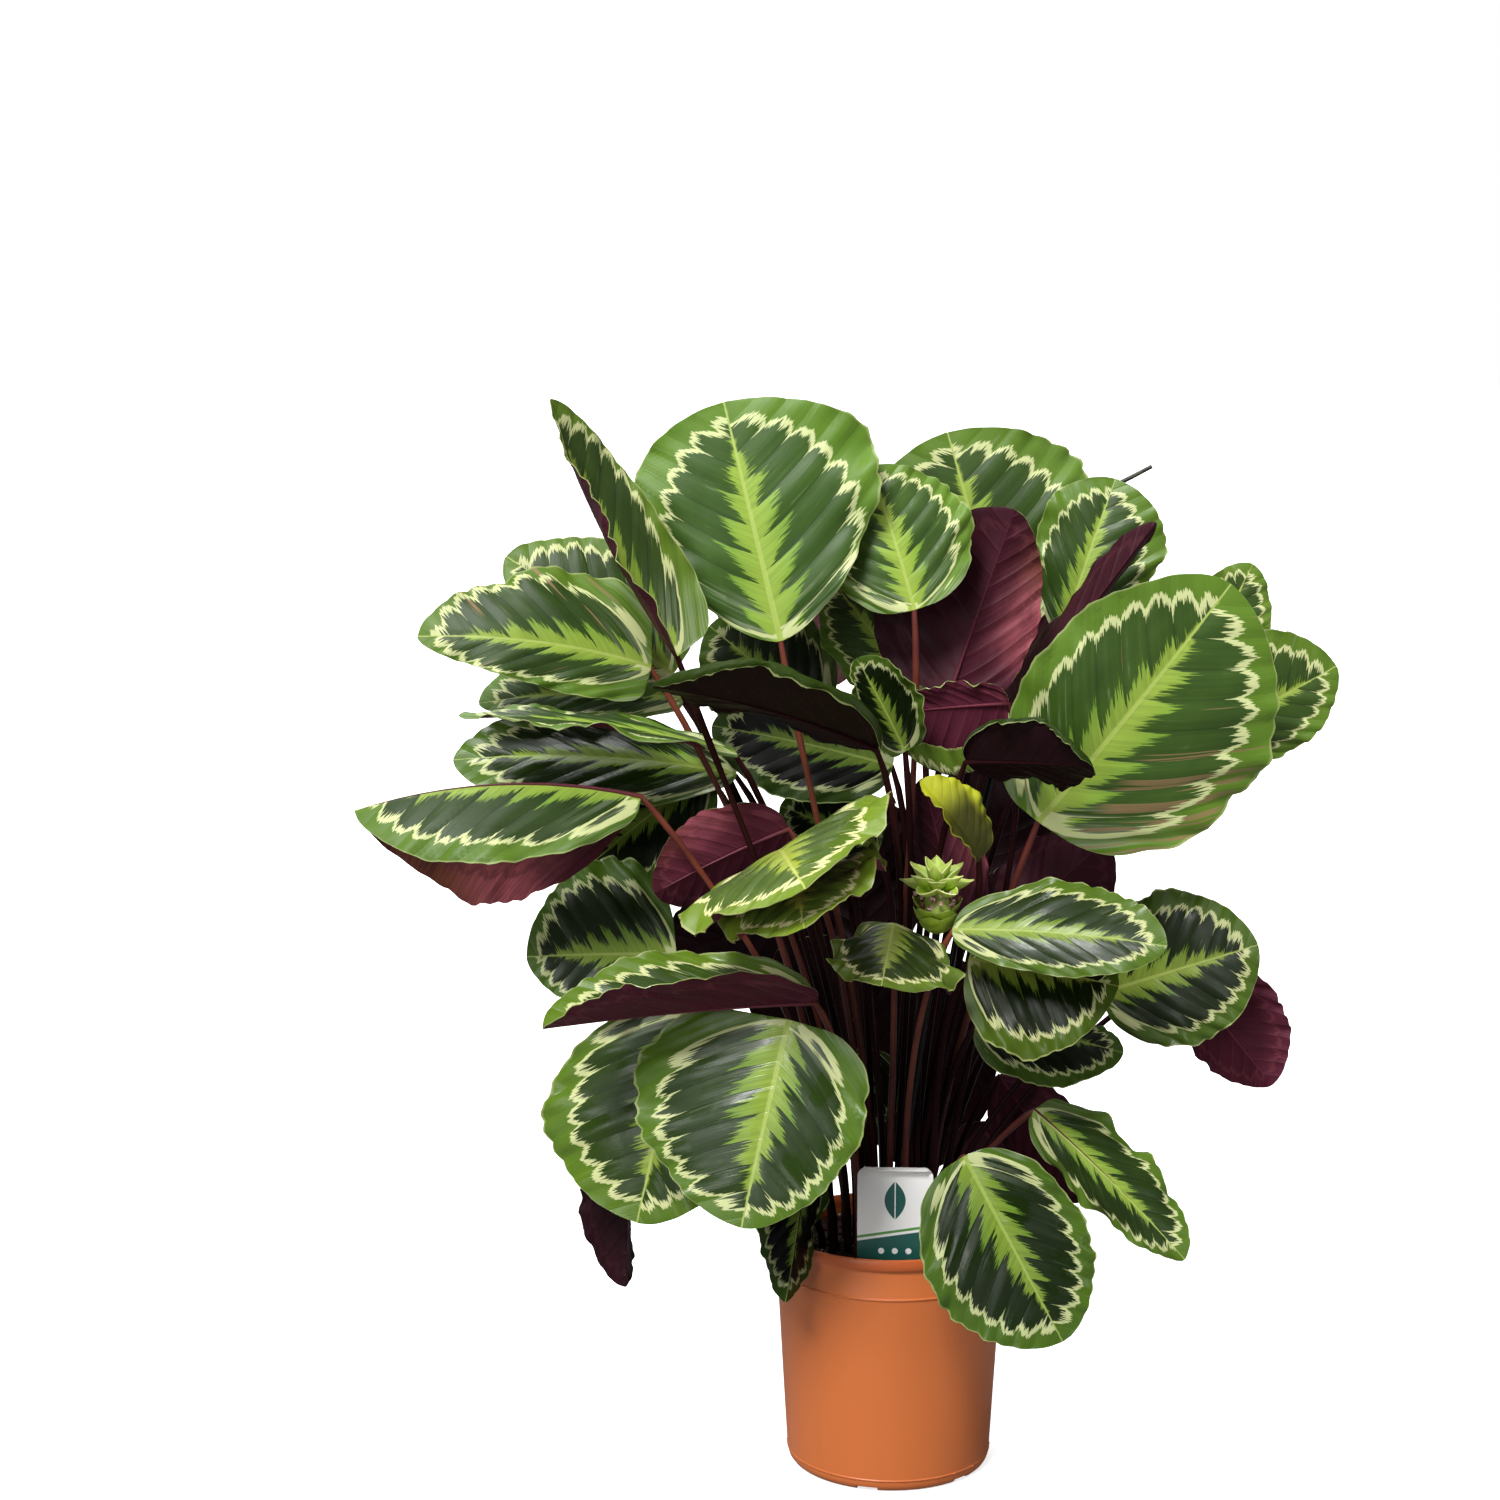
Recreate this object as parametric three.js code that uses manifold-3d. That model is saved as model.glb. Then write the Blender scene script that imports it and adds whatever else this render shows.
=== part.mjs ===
// A medallion calathea in a plastic nursery pot: some fifty broad leaves on long stalks that rise from one
// crown in the soil, a green flower head and a new rolled leaf among them, and a plain care card inside the
// rim. Millimetres, +Z up, the origin at the centre of the pot's underside, the plant's front towards -Y.
import * as THREE from "three";
import { mergeVertices } from "three/addons/utils/BufferGeometryUtils.js";
import Module from "manifold-3d";

const wasm = await Module();
wasm.setup();

// The leaves are laid out as an eye in front of the plant sees them: x and z are read on the upright plane
// through the pot's axis, and depth is how far behind that plane the point really lies.
const EYE_DISTANCE = 2200;
const EYE_HEIGHT = 900;

// The pot: its wall, and the radius of its outer face at each height that has an edge.
const POT_SIDES = 32;
const POT_HEIGHT = 200;
const POT_WALL = 2;
const RIM_RADIUS = 95.2;
const RIM_LINE_HEIGHT = 191;
const NECK_RADIUS = 91.6;
const COLLAR_RADIUS = 95.2;
const COLLAR_HEIGHT = 167;
const BODY_TOP_RADIUS = 94.2;
const BODY_FOOT_RADIUS = 85;
const FOOT_LINE_HEIGHT = 10.5;
const FOOT_RADIUS = 78.5;
const FOOT_CURVE = [[82.4, 2.4], [84.4, 6]];
const SHOULDER = 2;
const FLOOR_TOP = 6;
const FLOOR_RISE = 3;
const FLOOR_DISC_RADIUS = 24;
const FOOT_RING_RADIUS = 70;
const DRAIN_COUNT = 6;
const DRAIN_TURN = -102;
const DRAIN_NOTCH = [22, 18, 8];
const DRAIN_HOLE_RADIUS = 5;
const DRAIN_HOLE_REACH = 47;
const DRAIN_HOLE_SIDES = 12;

// The soil and what stands in it.
const SOIL_TOP = 184;
const SEAT_GAP = 0.3;
const HOLE_GAP = 0.4;
const STALK_SUNK = 12;
const CROWN_RADIUS = 62;
const CROWN_EASE = 0.4;
const FOOT_SPACING = 12.5;
const FOOT_ROUNDS = 200;

// The leaves.
const BLADE_THICKNESS = 0.8;
const BROAD_BLADE = 130;
const BLADE_GRID = { broad: [6, 6], small: [5, 4] };
const BLADE_NECK = 6;
const BLADE_POINT = 3;
const BASE_FULLNESS = 0.36;
const TIP_FULLNESS = 0.56;
const ROW_EASE = 0.08;
const EDGE_WAVE_POWER = 2.5;
const HALF_LEAF_PHASE = 0.37;
const GOLDEN_PHASE = 0.618;
const STALK_SIDES = 5;
const STALK_STEPS = 4;
const STALK_FOOT_RADIUS = 3.1;
const STALK_TOP_RADIUS = 2.3;
const STALK_CLEAR = 6;
const STALK_RISE = 0.35;
const STALK_RISE_FROM = 60;
const STALK_TURN_IN = 0.25;
const STALK_ARRIVE = 0.3;
const STALK_GROWN_IN = 2;

// The care card, the flower head and the new leaf, which is still rolled to a rod.
const CARD_WIDTH = 61;
const CARD_TOP = 271;
const CARD_THICKNESS = 0.8;
const CARD_CORNER = 6;
const CARD_PLACE = [4.5, -78];
const FLOWER_BASE = [37, 452, -84];
const FLOWER_CORE = [[0, -2], [6, 0], [13, 8], [15, 16], [11, 24], [6, 29], [4, 38], [0, 39]];
const FLOWER_LEAN = 0.3;
const FLOWER_WHORLS = [
  { count: 6, from: [3, 32], to: [24, 46], widths: [11, 11], turn: 0 },
  { count: 3, from: [2, 34], to: [11, 56], widths: [8, 8], turn: 30 },
  { count: 5, from: [9, 7], to: [18, 23], widths: [9, 9], turn: 42 },
];
const FLOWER_SIDES = 9;
const BRACT_GRID = [2, 2];
const BRACT_LOOKS_UP = 0.8;
const BRACT = { bow: 30, fold: [12, 12], curl: [15, 15], wave: 0, waves: 1, phase: 0, full: 0.4 };
const SPEAR_RADIUS = 2.4;
const SPEAR_POINT = 1.8;

const LEAF_COLOUR = "#3f6b2c";
const POT_COLOUR = "#c9683a";
const SOIL_COLOUR = "#2b1f18";
const CARD_COLOUR = "#eef0ea";
const FLOWER_COLOUR = "#8fb83e";
const SPEAR_COLOUR = "#33211f";

const rad = THREE.MathUtils.degToRad;

// The true place of a point that the eye sees at x, z and that lies at this depth.
function placed([x, z, depth]) {
  const spread = 1 + depth / EYE_DISTANCE;
  return new THREE.Vector3(x * spread, depth, EYE_HEIGHT + (z - EYE_HEIGHT) * spread);
}

// A geometry from points and triangles of point numbers.
function geometryOf(points, triangles) {
  const geometry = new THREE.BufferGeometry();
  const numbers = points.flatMap((point) => point.toArray());
  geometry.setAttribute("position", new THREE.Float32BufferAttribute(numbers, 3));
  geometry.setIndex(triangles);
  return geometry;
}

// A closed geometry as a solid that can be joined and cut.
function solidOf(geometry) {
  geometry.deleteAttribute("normal");
  geometry.deleteAttribute("uv");
  const merged = mergeVertices(geometry, 1e-4);
  const mesh = new wasm.Mesh({
    numProp: 3,
    vertProperties: merged.attributes.position.array,
    triVerts: new Uint32Array(merged.index.array),
  });
  return new wasm.Manifold(mesh);
}

// A named mesh from a solid.
function meshOf(name, solid, colour, roughness) {
  const { numProp, vertProperties, triVerts } = solid.getMesh();
  const points = [];
  for (let i = 0; i < vertProperties.length; i += numProp) {
    points.push(new THREE.Vector3(vertProperties[i], vertProperties[i + 1], vertProperties[i + 2]));
  }
  const material = new THREE.MeshStandardMaterial({ color: colour, roughness, metalness: 0 });
  const mesh = new THREE.Mesh(geometryOf(points, Array.from(triVerts)), material);
  mesh.name = name;
  return mesh;
}

// A closed skin over rings of equally many points, with a flat cap on each end.
function loft(rings) {
  const sides = rings[0].length;
  const points = rings.flat();
  const triangles = [];
  for (let r = 0; r + 1 < rings.length; r++) {
    for (let i = 0; i < sides; i++) {
      const a = r * sides + i;
      const b = r * sides + ((i + 1) % sides);
      triangles.push(a, b, b + sides, a, b + sides, a + sides);
    }
  }
  const last = (rings.length - 1) * sides;
  for (let i = 1; i + 1 < sides; i++) {
    triangles.push(0, i + 1, i, last, last + i, last + i + 1);
  }
  return geometryOf(points, triangles);
}

// A tapering round stalk through the points, whose rings turn as little as they can from one to the next.
function stalkThrough(path, radii, sides) {
  const rings = [];
  let across = new THREE.Vector3(1, 0, 0);
  path.forEach((point, i) => {
    const before = path[Math.max(i - 1, 0)];
    const after = path[Math.min(i + 1, path.length - 1)];
    const along = after.clone().sub(before).normalize();
    across = across.clone().addScaledVector(along, -across.dot(along)).normalize();
    const up = along.clone().cross(across);
    const ring = [];
    for (let k = 0; k < sides; k++) {
      const turn = (2 * Math.PI * k) / sides;
      ring.push(
        point.clone()
          .addScaledVector(across, radii[i] * Math.cos(turn))
          .addScaledVector(up, radii[i] * Math.sin(turn)),
      );
    }
    rings.push(ring);
  });
  return loft(rings);
}

// Half of a blade's width at a share of its length: widest at its full share, and drawn to a short point.
function bladeReach(blade, share, side) {
  const place = Math.pow(share, Math.log(0.5) / Math.log(blade.full));
  const fullness = share < blade.full ? BASE_FULLNESS : TIP_FULLNESS;
  const round = Math.pow(Math.sin(Math.PI * Math.min(place, 1)), fullness);
  const neck = (BLADE_NECK * (1 - share) + BLADE_POINT * share) / 2;
  return Math.max(blade.widths[side] * round, neck);
}

// The frame of a blade: its base, the chord to its tip, the side its upper face looks to, and its right.
function bladeFrame({ base, tip, faces }) {
  const chord = tip.clone().sub(base);
  const reach = chord.length();
  const along = chord.normalize();
  const looks = new THREE.Vector3(...faces);
  looks.addScaledVector(along, -looks.dot(along)).normalize();
  const right = along.clone().cross(looks);
  return { base, along, looks, right, reach };
}

// A point of the blade and the way its upper face looks there: share runs from base to tip, and across from
// -1 at the left edge to 1 at the right. The midrib is an arc that turns through bow. Each half leaves it at
// its own fold and bends on by its own curl, and the edge waves up and down.
function bladePoint(blade, frame, share, across) {
  const bow = rad(blade.bow);
  const length = (frame.reach * bow) / 2 / Math.sin(bow / 2);
  const turn = bow / 2 - bow * share;
  const forward = (length * (Math.sin(bow / 2) - Math.sin(turn))) / bow;
  const rise = (length * (Math.cos(turn) - Math.cos(bow / 2))) / bow;
  const { base, along, looks, right } = frame;
  const rib = base.clone().addScaledVector(along, forward).addScaledVector(looks, rise);
  const lift = looks.clone().multiplyScalar(Math.cos(turn)).addScaledVector(along, -Math.sin(turn));
  const side = across < 0 ? 0 : 1;
  const sign = side ? 1 : -1;
  const fold = rad(blade.fold[side]);
  const bend = rad(blade.curl[side]) / blade.widths[side];
  const reach = Math.abs(across) * bladeReach(blade, share, side);
  const slope = fold + bend * reach;
  const out = (Math.sin(slope) - Math.sin(fold)) / bend;
  const up = (Math.cos(fold) - Math.cos(slope)) / bend;
  const normal = lift.clone().multiplyScalar(Math.cos(slope)).addScaledVector(right, -sign * Math.sin(slope));
  const swing = Math.sin(2 * Math.PI * (blade.waves * share + blade.phase + HALF_LEAF_PHASE * side));
  const edge = Math.pow(Math.abs(across), EDGE_WAVE_POWER) * Math.sqrt(Math.sin(Math.PI * share));
  const point = rib.addScaledVector(right, sign * out).addScaledVector(lift, up);
  return [point.addScaledVector(normal, blade.wave * edge * swing), normal];
}

// The blade as a closed sheet of even thickness, split into triangles alike on both faces.
function bladeOf(blade, rows, columns) {
  const frame = bladeFrame(blade);
  const upper = [];
  const under = [];
  for (let row = 0; row <= rows; row++) {
    const even = row / rows;
    const share = even - ROW_EASE * Math.sin(2 * Math.PI * even);
    for (let column = 0; column <= columns; column++) {
      const [point, normal] = bladePoint(blade, frame, share, (2 * column) / columns - 1);
      upper.push(point.clone().addScaledVector(normal, BLADE_THICKNESS / 2));
      under.push(point.clone().addScaledVector(normal, -BLADE_THICKNESS / 2));
    }
  }
  const wide = columns + 1;
  const below = upper.length;
  const triangles = [];
  for (let row = 0; row < rows; row++) {
    for (let column = 0; column < columns; column++) {
      const a = row * wide + column;
      const [b, c, d] = [a + 1, a + wide + 1, a + wide];
      triangles.push(a, b, c, a, c, d);
      triangles.push(below + a, below + c, below + b, below + a, below + d, below + c);
    }
  }
  const rim = [];
  for (let column = 0; column < columns; column++) rim.push(column);
  for (let row = 0; row < rows; row++) rim.push(row * wide + columns);
  for (let column = columns; column > 0; column--) rim.push(rows * wide + column);
  for (let row = rows; row > 0; row--) rim.push(row * wide);
  rim.forEach((a, i) => {
    const b = rim[(i + 1) % rim.length];
    triangles.push(a, below + a, below + b, a, below + b, b);
  });
  return geometryOf([...upper, ...under], triangles);
}

// Where the stalks leave the soil: each on its leaf's side of the crown, further out the more it leans, or
// near a foot of its own, and then pushed apart until none stands closer to the next than the spacing.
function crownFeet(tops) {
  const feet = tops.map(({ base: top, foot }) => {
    if (foot) return new THREE.Vector2(...foot);
    const out = Math.hypot(top.x, top.y);
    const lean = out / (top.z - SOIL_TOP);
    const reach = (CROWN_RADIUS * lean) / (lean + CROWN_EASE);
    return new THREE.Vector2((top.x / out) * reach, (top.y / out) * reach);
  });
  for (let round = 0; round < FOOT_ROUNDS; round++) {
    feet.forEach((foot, i) => {
      feet.slice(i + 1).forEach((other) => {
        const away = foot.clone().sub(other);
        const short = FOOT_SPACING - away.length();
        if (short <= 0) return;
        away.setLength(short / 2);
        foot.add(away);
        other.sub(away);
      });
    });
  }
  return feet;
}

// The path of a stalk from its foot: straight up out of the soil, then one smooth bend to the base of what it
// carries, which sets off along start.
function stalkPath(foot, top, start) {
  const low = new THREE.Vector3(foot.x, foot.y, SOIL_TOP + STALK_CLEAR);
  const arrive = top.clone().sub(low).normalize().lerp(start, STALK_TURN_IN).normalize();
  const upright = low.clone().setZ(low.z + STALK_RISE * Math.max(top.z - low.z, STALK_RISE_FROM));
  const last = top.clone().addScaledVector(arrive, -STALK_ARRIVE * top.distanceTo(low));
  const curve = new THREE.CubicBezierCurve3(low, upright, last, top);
  const path = [low.clone().setZ(SOIL_TOP - STALK_SUNK)];
  for (let i = 0; i < STALK_STEPS; i++) path.push(curve.getPoint(i / STALK_STEPS));
  path.push(top.clone().addScaledVector(arrive, STALK_GROWN_IN));
  return path;
}

// A stalk along a path, tapering from its foot to its top.
function stalkSolid(path) {
  const narrowing = (STALK_TOP_RADIUS - STALK_FOOT_RADIUS) / (path.length - 1);
  const radii = path.map((_, i) => STALK_FOOT_RADIUS + narrowing * i);
  return solidOf(stalkThrough(path, radii, STALK_SIDES));
}

// One leaf: its stalk and its blade, grown together.
function leafSolid(leaf, foot) {
  const { along } = bladeFrame(leaf);
  const grid = leaf.widths[0] + leaf.widths[1] >= BROAD_BLADE ? BLADE_GRID.broad : BLADE_GRID.small;
  const blade = solidOf(bladeOf(leaf, ...grid));
  return stalkSolid(stalkPath(foot, leaf.base, along)).add(blade);
}

// Each leaf: its name, then the base and the tip of the blade as [x, z, depth], the widths of its left and
// right half, where its upper face looks [x, y, z], the midrib's bow, the fold and the curl of the left and
// right half in degrees, the height of the waves of its edge, the share of its length where it is widest,
// and, where its stalk has to pass another piece, the [x, y] of its foot.
const ROWS = [
  ["top_left_tall", [-176, 677, -92], [-279, 885, -108], [62, 48], [0.6, -0.8, 0.2],
    -35, [54, 15], [20, 20], 4, 0.3],
  ["left_upper", [-198, 668, 5], [-390, 692, -30], [38, 74], [0.1, -0.9, 0.5],
    50, [-5, 5], [-15, -25], 5, 0.3],
  ["top_centre", [-92, 690, -50], [-138, 883, -20], [91, 110], [0.05, -1, 0.1],
    15, [5, 5], [-15, -10], 5, 0.66],
  ["top_inner", [17, 716, -30], [-20, 832, -5], [58, 66], [0.3, -1, 0.1],
    15, [-15, 5], [-20, -10], 4, 0.5],
  ["top_right_back", [90, 690, 130], [42, 859, 158], [91, 107], [0.1, -1, 0.15],
    10, [2, 5], [-5, -15], 5, 0.64],
  ["top_right", [135, 694, 92], [177, 822, 110], [48, 60], [-0.1, -1, 0.2],
    20, [5, 5], [-5, -20], 4, 0.66],
  ["top_right_rolled", [80, 605, 25], [210, 787, 45], [24, 38], [0.1, 1, 0.2],
    10, [50, 45], [50, 40], 3, 0.5],
  ["top_purple", [46, 646, 0], [97, 797, 20], [50, 84], [0.1, 1, 0.2],
    30, [10, 10], [-10, -10], 5, 0.42],
  ["inner_cup", [94, 640, -44], [-6, 630, -50], [22, 56], [0.05, 1, 0.2],
    20, [-5, -5], [-15, 15], 3, 0.45, [36, -16]],
  ["inner_dark", [60, 592, -74], [163, 588, -138], [40, 38], [0, 0.9, 0.4],
    10, [20, 10], [20, 10], 5, 0.5, [18, -28]],
  ["right_big", [119, 543, -50], [271, 738, -88], [84, 115], [0.2, -1, 0.25],
    25, [5, 5], [-10, -25], 4, 0.5],
  ["right_small_back", [236, 650, 130], [288, 754, 140], [36, 42], [0.2, -0.9, 0.4],
    20, [1, 1], [-1, -20], 4, 0.5],
  ["far_right", [225, 600, 45], [357, 672, 30], [66, 45], [0.3, -1, 0.2],
    30, [1, 5], [-10, -20], 5, 0.55],
  ["left_mid_back", [-172, 640, 78], [-340, 634, 30], [36, 50], [0, -0.75, 0.75],
    30, [-5, 1], [-10, 10], 4, 0.5],
  ["left_mid_folded", [-128, 597, -30], [-357, 627, -72], [55, 45], [0, -0.2, 1],
    20, [10, -5], [5, -5], 4, 0.45],
  ["left_mid_low", [-128, 580, 32], [-362, 590, 8], [50, 62], [0, -0.6, 0.75],
    25, [-5, 1], [-15, -10], 4, 0.6],
  ["left_drooping", [-207, 562, -75], [-445, 547, -110], [72, 108], [0.1, -0.5, 0.85],
    40, [-12, -98], [-15, -10], 4, 0.54],
  ["left_shade", [-152, 580, 35], [-258, 495, 25], [50, 60], [-0.1, -0.9, 0.4],
    30, [1, 1], [-10, -10], 4, 0.5],
  ["inner_purple_left", [-85, 536, -45], [-196, 480, -58], [40, 48], [0, 1, 0.4],
    20, [10, 10], [10, 10], 3, 0.5],
  ["front_bright", [-91, 516, -80], [-71, 485, -240], [94, 94], [-0.48, -0.21, 0.85],
    40, [1, 1], [-10, -10], 8, 0.5],
  ["front_bright_under", [-70, 494, -100], [-72, 452, -225], [68, 66], [-0.4, -0.4, 0.85],
    40, [1, 1], [-10, -10], 8, 0.5],
  ["inner_long_purple", [-12, 602, -105], [-197, 652, -135], [55, 45], [0, 0.5, 0.85],
    20, [10, 10], [10, 10], 4, 0.5],
  ["behind_centre", [-60, 628, 80], [-150, 702, 75], [55, 60], [0, -1, 0.2],
    10, [1, 1], [-10, -10], 4, 0.5],
  ["inner_band", [22, 648, 50], [-52, 742, 40], [42, 45], [-0.2, -1, 0.2],
    10, [1, 1], [-20, -20], 4, 0.5],
  ["young_yellow", [72, 512, -79], [23, 576, -94], [14, 30], [-0.35, -0.6, 0.8],
    50, [30, 10], [30, -40], 2, 0.5],
  ["young_purple", [58, 450, -25], [25, 578, -20], [38, 38], [0.1, 1, 0],
    10, [20, 20], [20, 20], 2, 0.5],
  ["left_low_back", [-178, 428, -35], [-303, 425, -65], [50, 86], [0, -0.9, 0.45],
    20, [1, 1], [-10, -15], 4, 0.42],
  ["left_low_folded", [-62, 390, -100], [-290, 364, -165], [56, 58], [0, -0.5, 0.85],
    8, [65, 12], [10, 1], 4, 0.5],
  ["left_low_hanging", [-165, 384, -60], [-212, 198, -95], [65, 101], [-0.25, -1, 0.25],
    15, [5, 5], [-15, -15], 4, 0.58],
  ["front_left", [-84, 374, -120], [-124, 195, -170], [76, 114], [-0.1, -1, 0.35],
    15, [1, 1], [-15, -20], 3, 0.4],
  ["left_low_dark", [-216, 290, -40], [-222, 142, -50], [42, 42], [-0.5, 0.8, 0.2],
    15, [45, 45], [20, 20], 4, 0.5],
  ["pot_side_dark", [-66, 290, -85], [-87, 131, -115], [42, 42], [0.2, -0.9, 0.2],
    15, [-45, -45], [-20, -20], 4, 0.5, [-47, -36]],
  ["front_small", [2, 457, -92], [-8, 404, -165], [66, 48], [0.08, -0.6, 0.9],
    35, [-8, -8], [-25, -25], 8, 0.56],
  ["right_mid", [50, 452, -105], [226, 440, -145], [50, 34], [0, -0.75, 0.7],
    20, [1, -10], [-10, -20], 4, 0.55],
  ["right_mid_under", [64, 428, -75], [187, 406, -105], [40, 74], [0, -0.85, 0.6],
    20, [1, 1], [-15, -15], 4, 0.5, [34, -28]],
  ["right_side", [172, 400, 0], [300, 442, -30], [66, 62], [0.1, -1, 0.3],
    20, [1, 1], [-15, -15], 4, 0.5],
  ["right_purple", [234, 420, 35], [314, 324, 25], [45, 52], [0.3, 0.9, 0.3],
    15, [5, 5], [10, 10], 3, 0.5],
  ["right_dark_low", [70, 372, -40], [192, 350, -60], [32, 48], [0, -0.6, 0.8],
    20, [1, 1], [-20, -20], 4, 0.5],
  ["right_low_slim", [119, 300, -60], [246, 174, -105], [48, 31], [0.3, -0.9, 0.5],
    20, [-5, -45], [-30, -20], 4, 0.46],
  ["right_low_purple", [90, 330, 30], [158, 222, 20], [36, 36], [0.2, 1, 0.2],
    15, [5, 5], [10, 10], 4, 0.5],
  ["front_right", [62, 260, -135], [146, 101, -165], [60, 72], [0.05, -1, 0.2],
    15, [5, 5], [-25, -25], 3, 0.52, [46, -30]],
  ["inner_low", [-14, 350, 112], [-24, 282, 122], [32, 32], [0, -1, 0.3],
    15, [1, 1], [-10, -10], 3, 0.5],
  ["right_brown_back", [80, 440, 8], [175, 528, 12], [52, 44], [0.3, 1, 0.1],
    10, [10, 10], [10, 10], 3, 0.5],
  ["inner_green", [-10, 520, 44], [-108, 558, 40], [38, 38], [0, -0.9, 0.5],
    15, [1, 1], [-10, -10], 3, 0.5],
  ["inner_streaked", [0, 588, 20], [-148, 620, 24], [52, 57], [0, -0.8, 0.6],
    15, [1, 1], [-10, -10], 3, 0.5],
  ["back_top_left", [-60, 650, 150], [-110, 850, 230], [70, 75], [-0.2, 1, 0.25],
    20, [5, 5], [-10, -10], 5, 0.5],
  ["back_top_right", [70, 640, 170], [85, 830, 270], [70, 70], [0.2, 1, 0.25],
    20, [5, 5], [-10, -10], 5, 0.5],
  ["back_right", [62, 480, 118], [112, 612, 195], [60, 60], [0.3, 1, 0.3],
    25, [5, 5], [-10, -15], 5, 0.5],
  ["left_upper_back", [-180, 662, 62], [-316, 758, 76], [50, 68], [0.1, -0.9, 0.4],
    25, [5, 5], [-10, -15], 5, 0.42],
  ["back_centre", [-18, 432, 138], [-35, 566, 210], [64, 64], [0, 0.9, 0.5],
    25, [5, 5], [-10, -15], 5, 0.5],
  ["back_left_low", [-50, 470, 120], [-190, 425, 150], [50, 50], [-0.1, 1, 0.2],
    20, [1, 1], [-15, -15], 4, 0.5],
  ["inner_lobe", [10, 600, -54], [-30, 676, -58], [34, 34], [0.25, -1, 0.25],
    20, [25, 25], [40, 40], 3, 0.5],
  ["back_centre_low", [28, 435, 132], [24, 245, 165], [68, 68], [0, 1, 0.3],
    20, [1, 1], [-15, -15], 5, 0.5],
  ["back_left_hanging", [-52, 446, 114], [-88, 318, 166], [50, 50], [-0.2, 1, 0.3],
    25, [1, 1], [-15, -15], 4, 0.5],
  ["back_right_hanging", [75, 290, 110], [125, 180, 165], [45, 45], [0.4, 1, 0.4],
    25, [1, 1], [-15, -15], 4, 0.5],
];

const LEAVES = ROWS.map(([name, base, tip, widths, faces, bow, fold, curl, wave, full, foot], i) => {
  const waves = 2 + 0.5 * (i % 3);
  const phase = (GOLDEN_PHASE * i) % 1;
  const ends = { base: placed(base), tip: placed(tip), foot };
  return { name: "leaf_" + name, ...ends, widths, faces, bow, fold, curl, wave, full, waves, phase };
});

// The flower head and the new leaf stand among them on stalks of their own.
const FLOWER_TOP = placed(FLOWER_BASE);
const SPEAR_PATH = [[124, 745, 150], [174, 815, 124], [206, 832, 120]].map(placed);
const FEET = crownFeet([{ base: FLOWER_TOP }, { base: SPEAR_PATH[0] }, ...LEAVES]);
const [FLOWER_FOOT, SPEAR_FOOT, ...LEAF_FEET] = FEET;

// A closed round solid from its profile of [radius, height] points, which starts and ends on the axis.
function turned(profile, sides) {
  const points = profile.map(([radius, height]) => new THREE.Vector2(radius, height));
  return solidOf(new THREE.LatheGeometry(points, sides).rotateX(Math.PI / 2));
}

// The pot: one moulding with a bead at its rim, a collar, a tapering body, a foot ring with drain notches and
// a raised floor with drain holes round a middle disc that touches the ground.
function potSolid() {
  const inside = (radius) => radius - POT_WALL;
  let pot = turned([
    [0, 0],
    [FLOOR_DISC_RADIUS, 0],
    [FLOOR_DISC_RADIUS, FLOOR_RISE],
    [FOOT_RING_RADIUS, FLOOR_RISE],
    [FOOT_RING_RADIUS, 0],
    [FOOT_RADIUS, 0],
    ...FOOT_CURVE,
    [BODY_FOOT_RADIUS, FOOT_LINE_HEIGHT],
    [BODY_TOP_RADIUS, COLLAR_HEIGHT - SHOULDER],
    [COLLAR_RADIUS, COLLAR_HEIGHT],
    [NECK_RADIUS, RIM_LINE_HEIGHT - 1],
    [RIM_RADIUS - 0.6, RIM_LINE_HEIGHT],
    [RIM_RADIUS, RIM_LINE_HEIGHT + 4],
    [RIM_RADIUS - 0.8, POT_HEIGHT],
    [inside(NECK_RADIUS) + 2, POT_HEIGHT],
    [inside(NECK_RADIUS), POT_HEIGHT - 4],
    [inside(NECK_RADIUS), RIM_LINE_HEIGHT - 1],
    [inside(COLLAR_RADIUS), COLLAR_HEIGHT],
    [inside(BODY_TOP_RADIUS), COLLAR_HEIGHT - 2 * SHOULDER],
    [inside(BODY_FOOT_RADIUS), FOOT_LINE_HEIGHT + 2],
    [inside(BODY_FOOT_RADIUS) - 1.5, FLOOR_TOP],
    [0, FLOOR_TOP],
  ], POT_SIDES);
  for (let i = 0; i < DRAIN_COUNT; i++) {
    const turn = rad(DRAIN_TURN + (360 / DRAIN_COUNT) * i);
    const notch = new THREE.BoxGeometry(...DRAIN_NOTCH).translate(FOOT_RADIUS, 0, 0).rotateZ(turn);
    const wide = DRAIN_HOLE_RADIUS;
    const hole = new THREE.CylinderGeometry(wide, wide, 3 * FLOOR_TOP, DRAIN_HOLE_SIDES);
    hole.rotateX(Math.PI / 2).translate(DRAIN_HOLE_REACH, 0, 0).rotateZ(turn);
    pot = pot.subtract(solidOf(notch)).subtract(solidOf(hole));
  }
  return pot;
}

// A flat upright plate with round top corners, from a height up to the card's top.
function cardPlate(bottom, grow) {
  const half = CARD_WIDTH / 2 + grow;
  const outline = new THREE.Shape();
  outline.moveTo(-half, bottom);
  outline.lineTo(half, bottom);
  outline.lineTo(half, CARD_TOP - CARD_CORNER);
  outline.absarc(half - CARD_CORNER, CARD_TOP - CARD_CORNER, CARD_CORNER, 0, Math.PI / 2);
  outline.absarc(CARD_CORNER - half, CARD_TOP - CARD_CORNER, CARD_CORNER, Math.PI / 2, Math.PI);
  const depth = CARD_THICKNESS + 2 * grow;
  const plate = new THREE.ExtrudeGeometry(outline, { depth, bevelEnabled: false, curveSegments: 6 });
  return solidOf(plate.rotateX(Math.PI / 2).translate(CARD_PLACE[0], CARD_PLACE[1] + depth / 2, 0));
}

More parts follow.
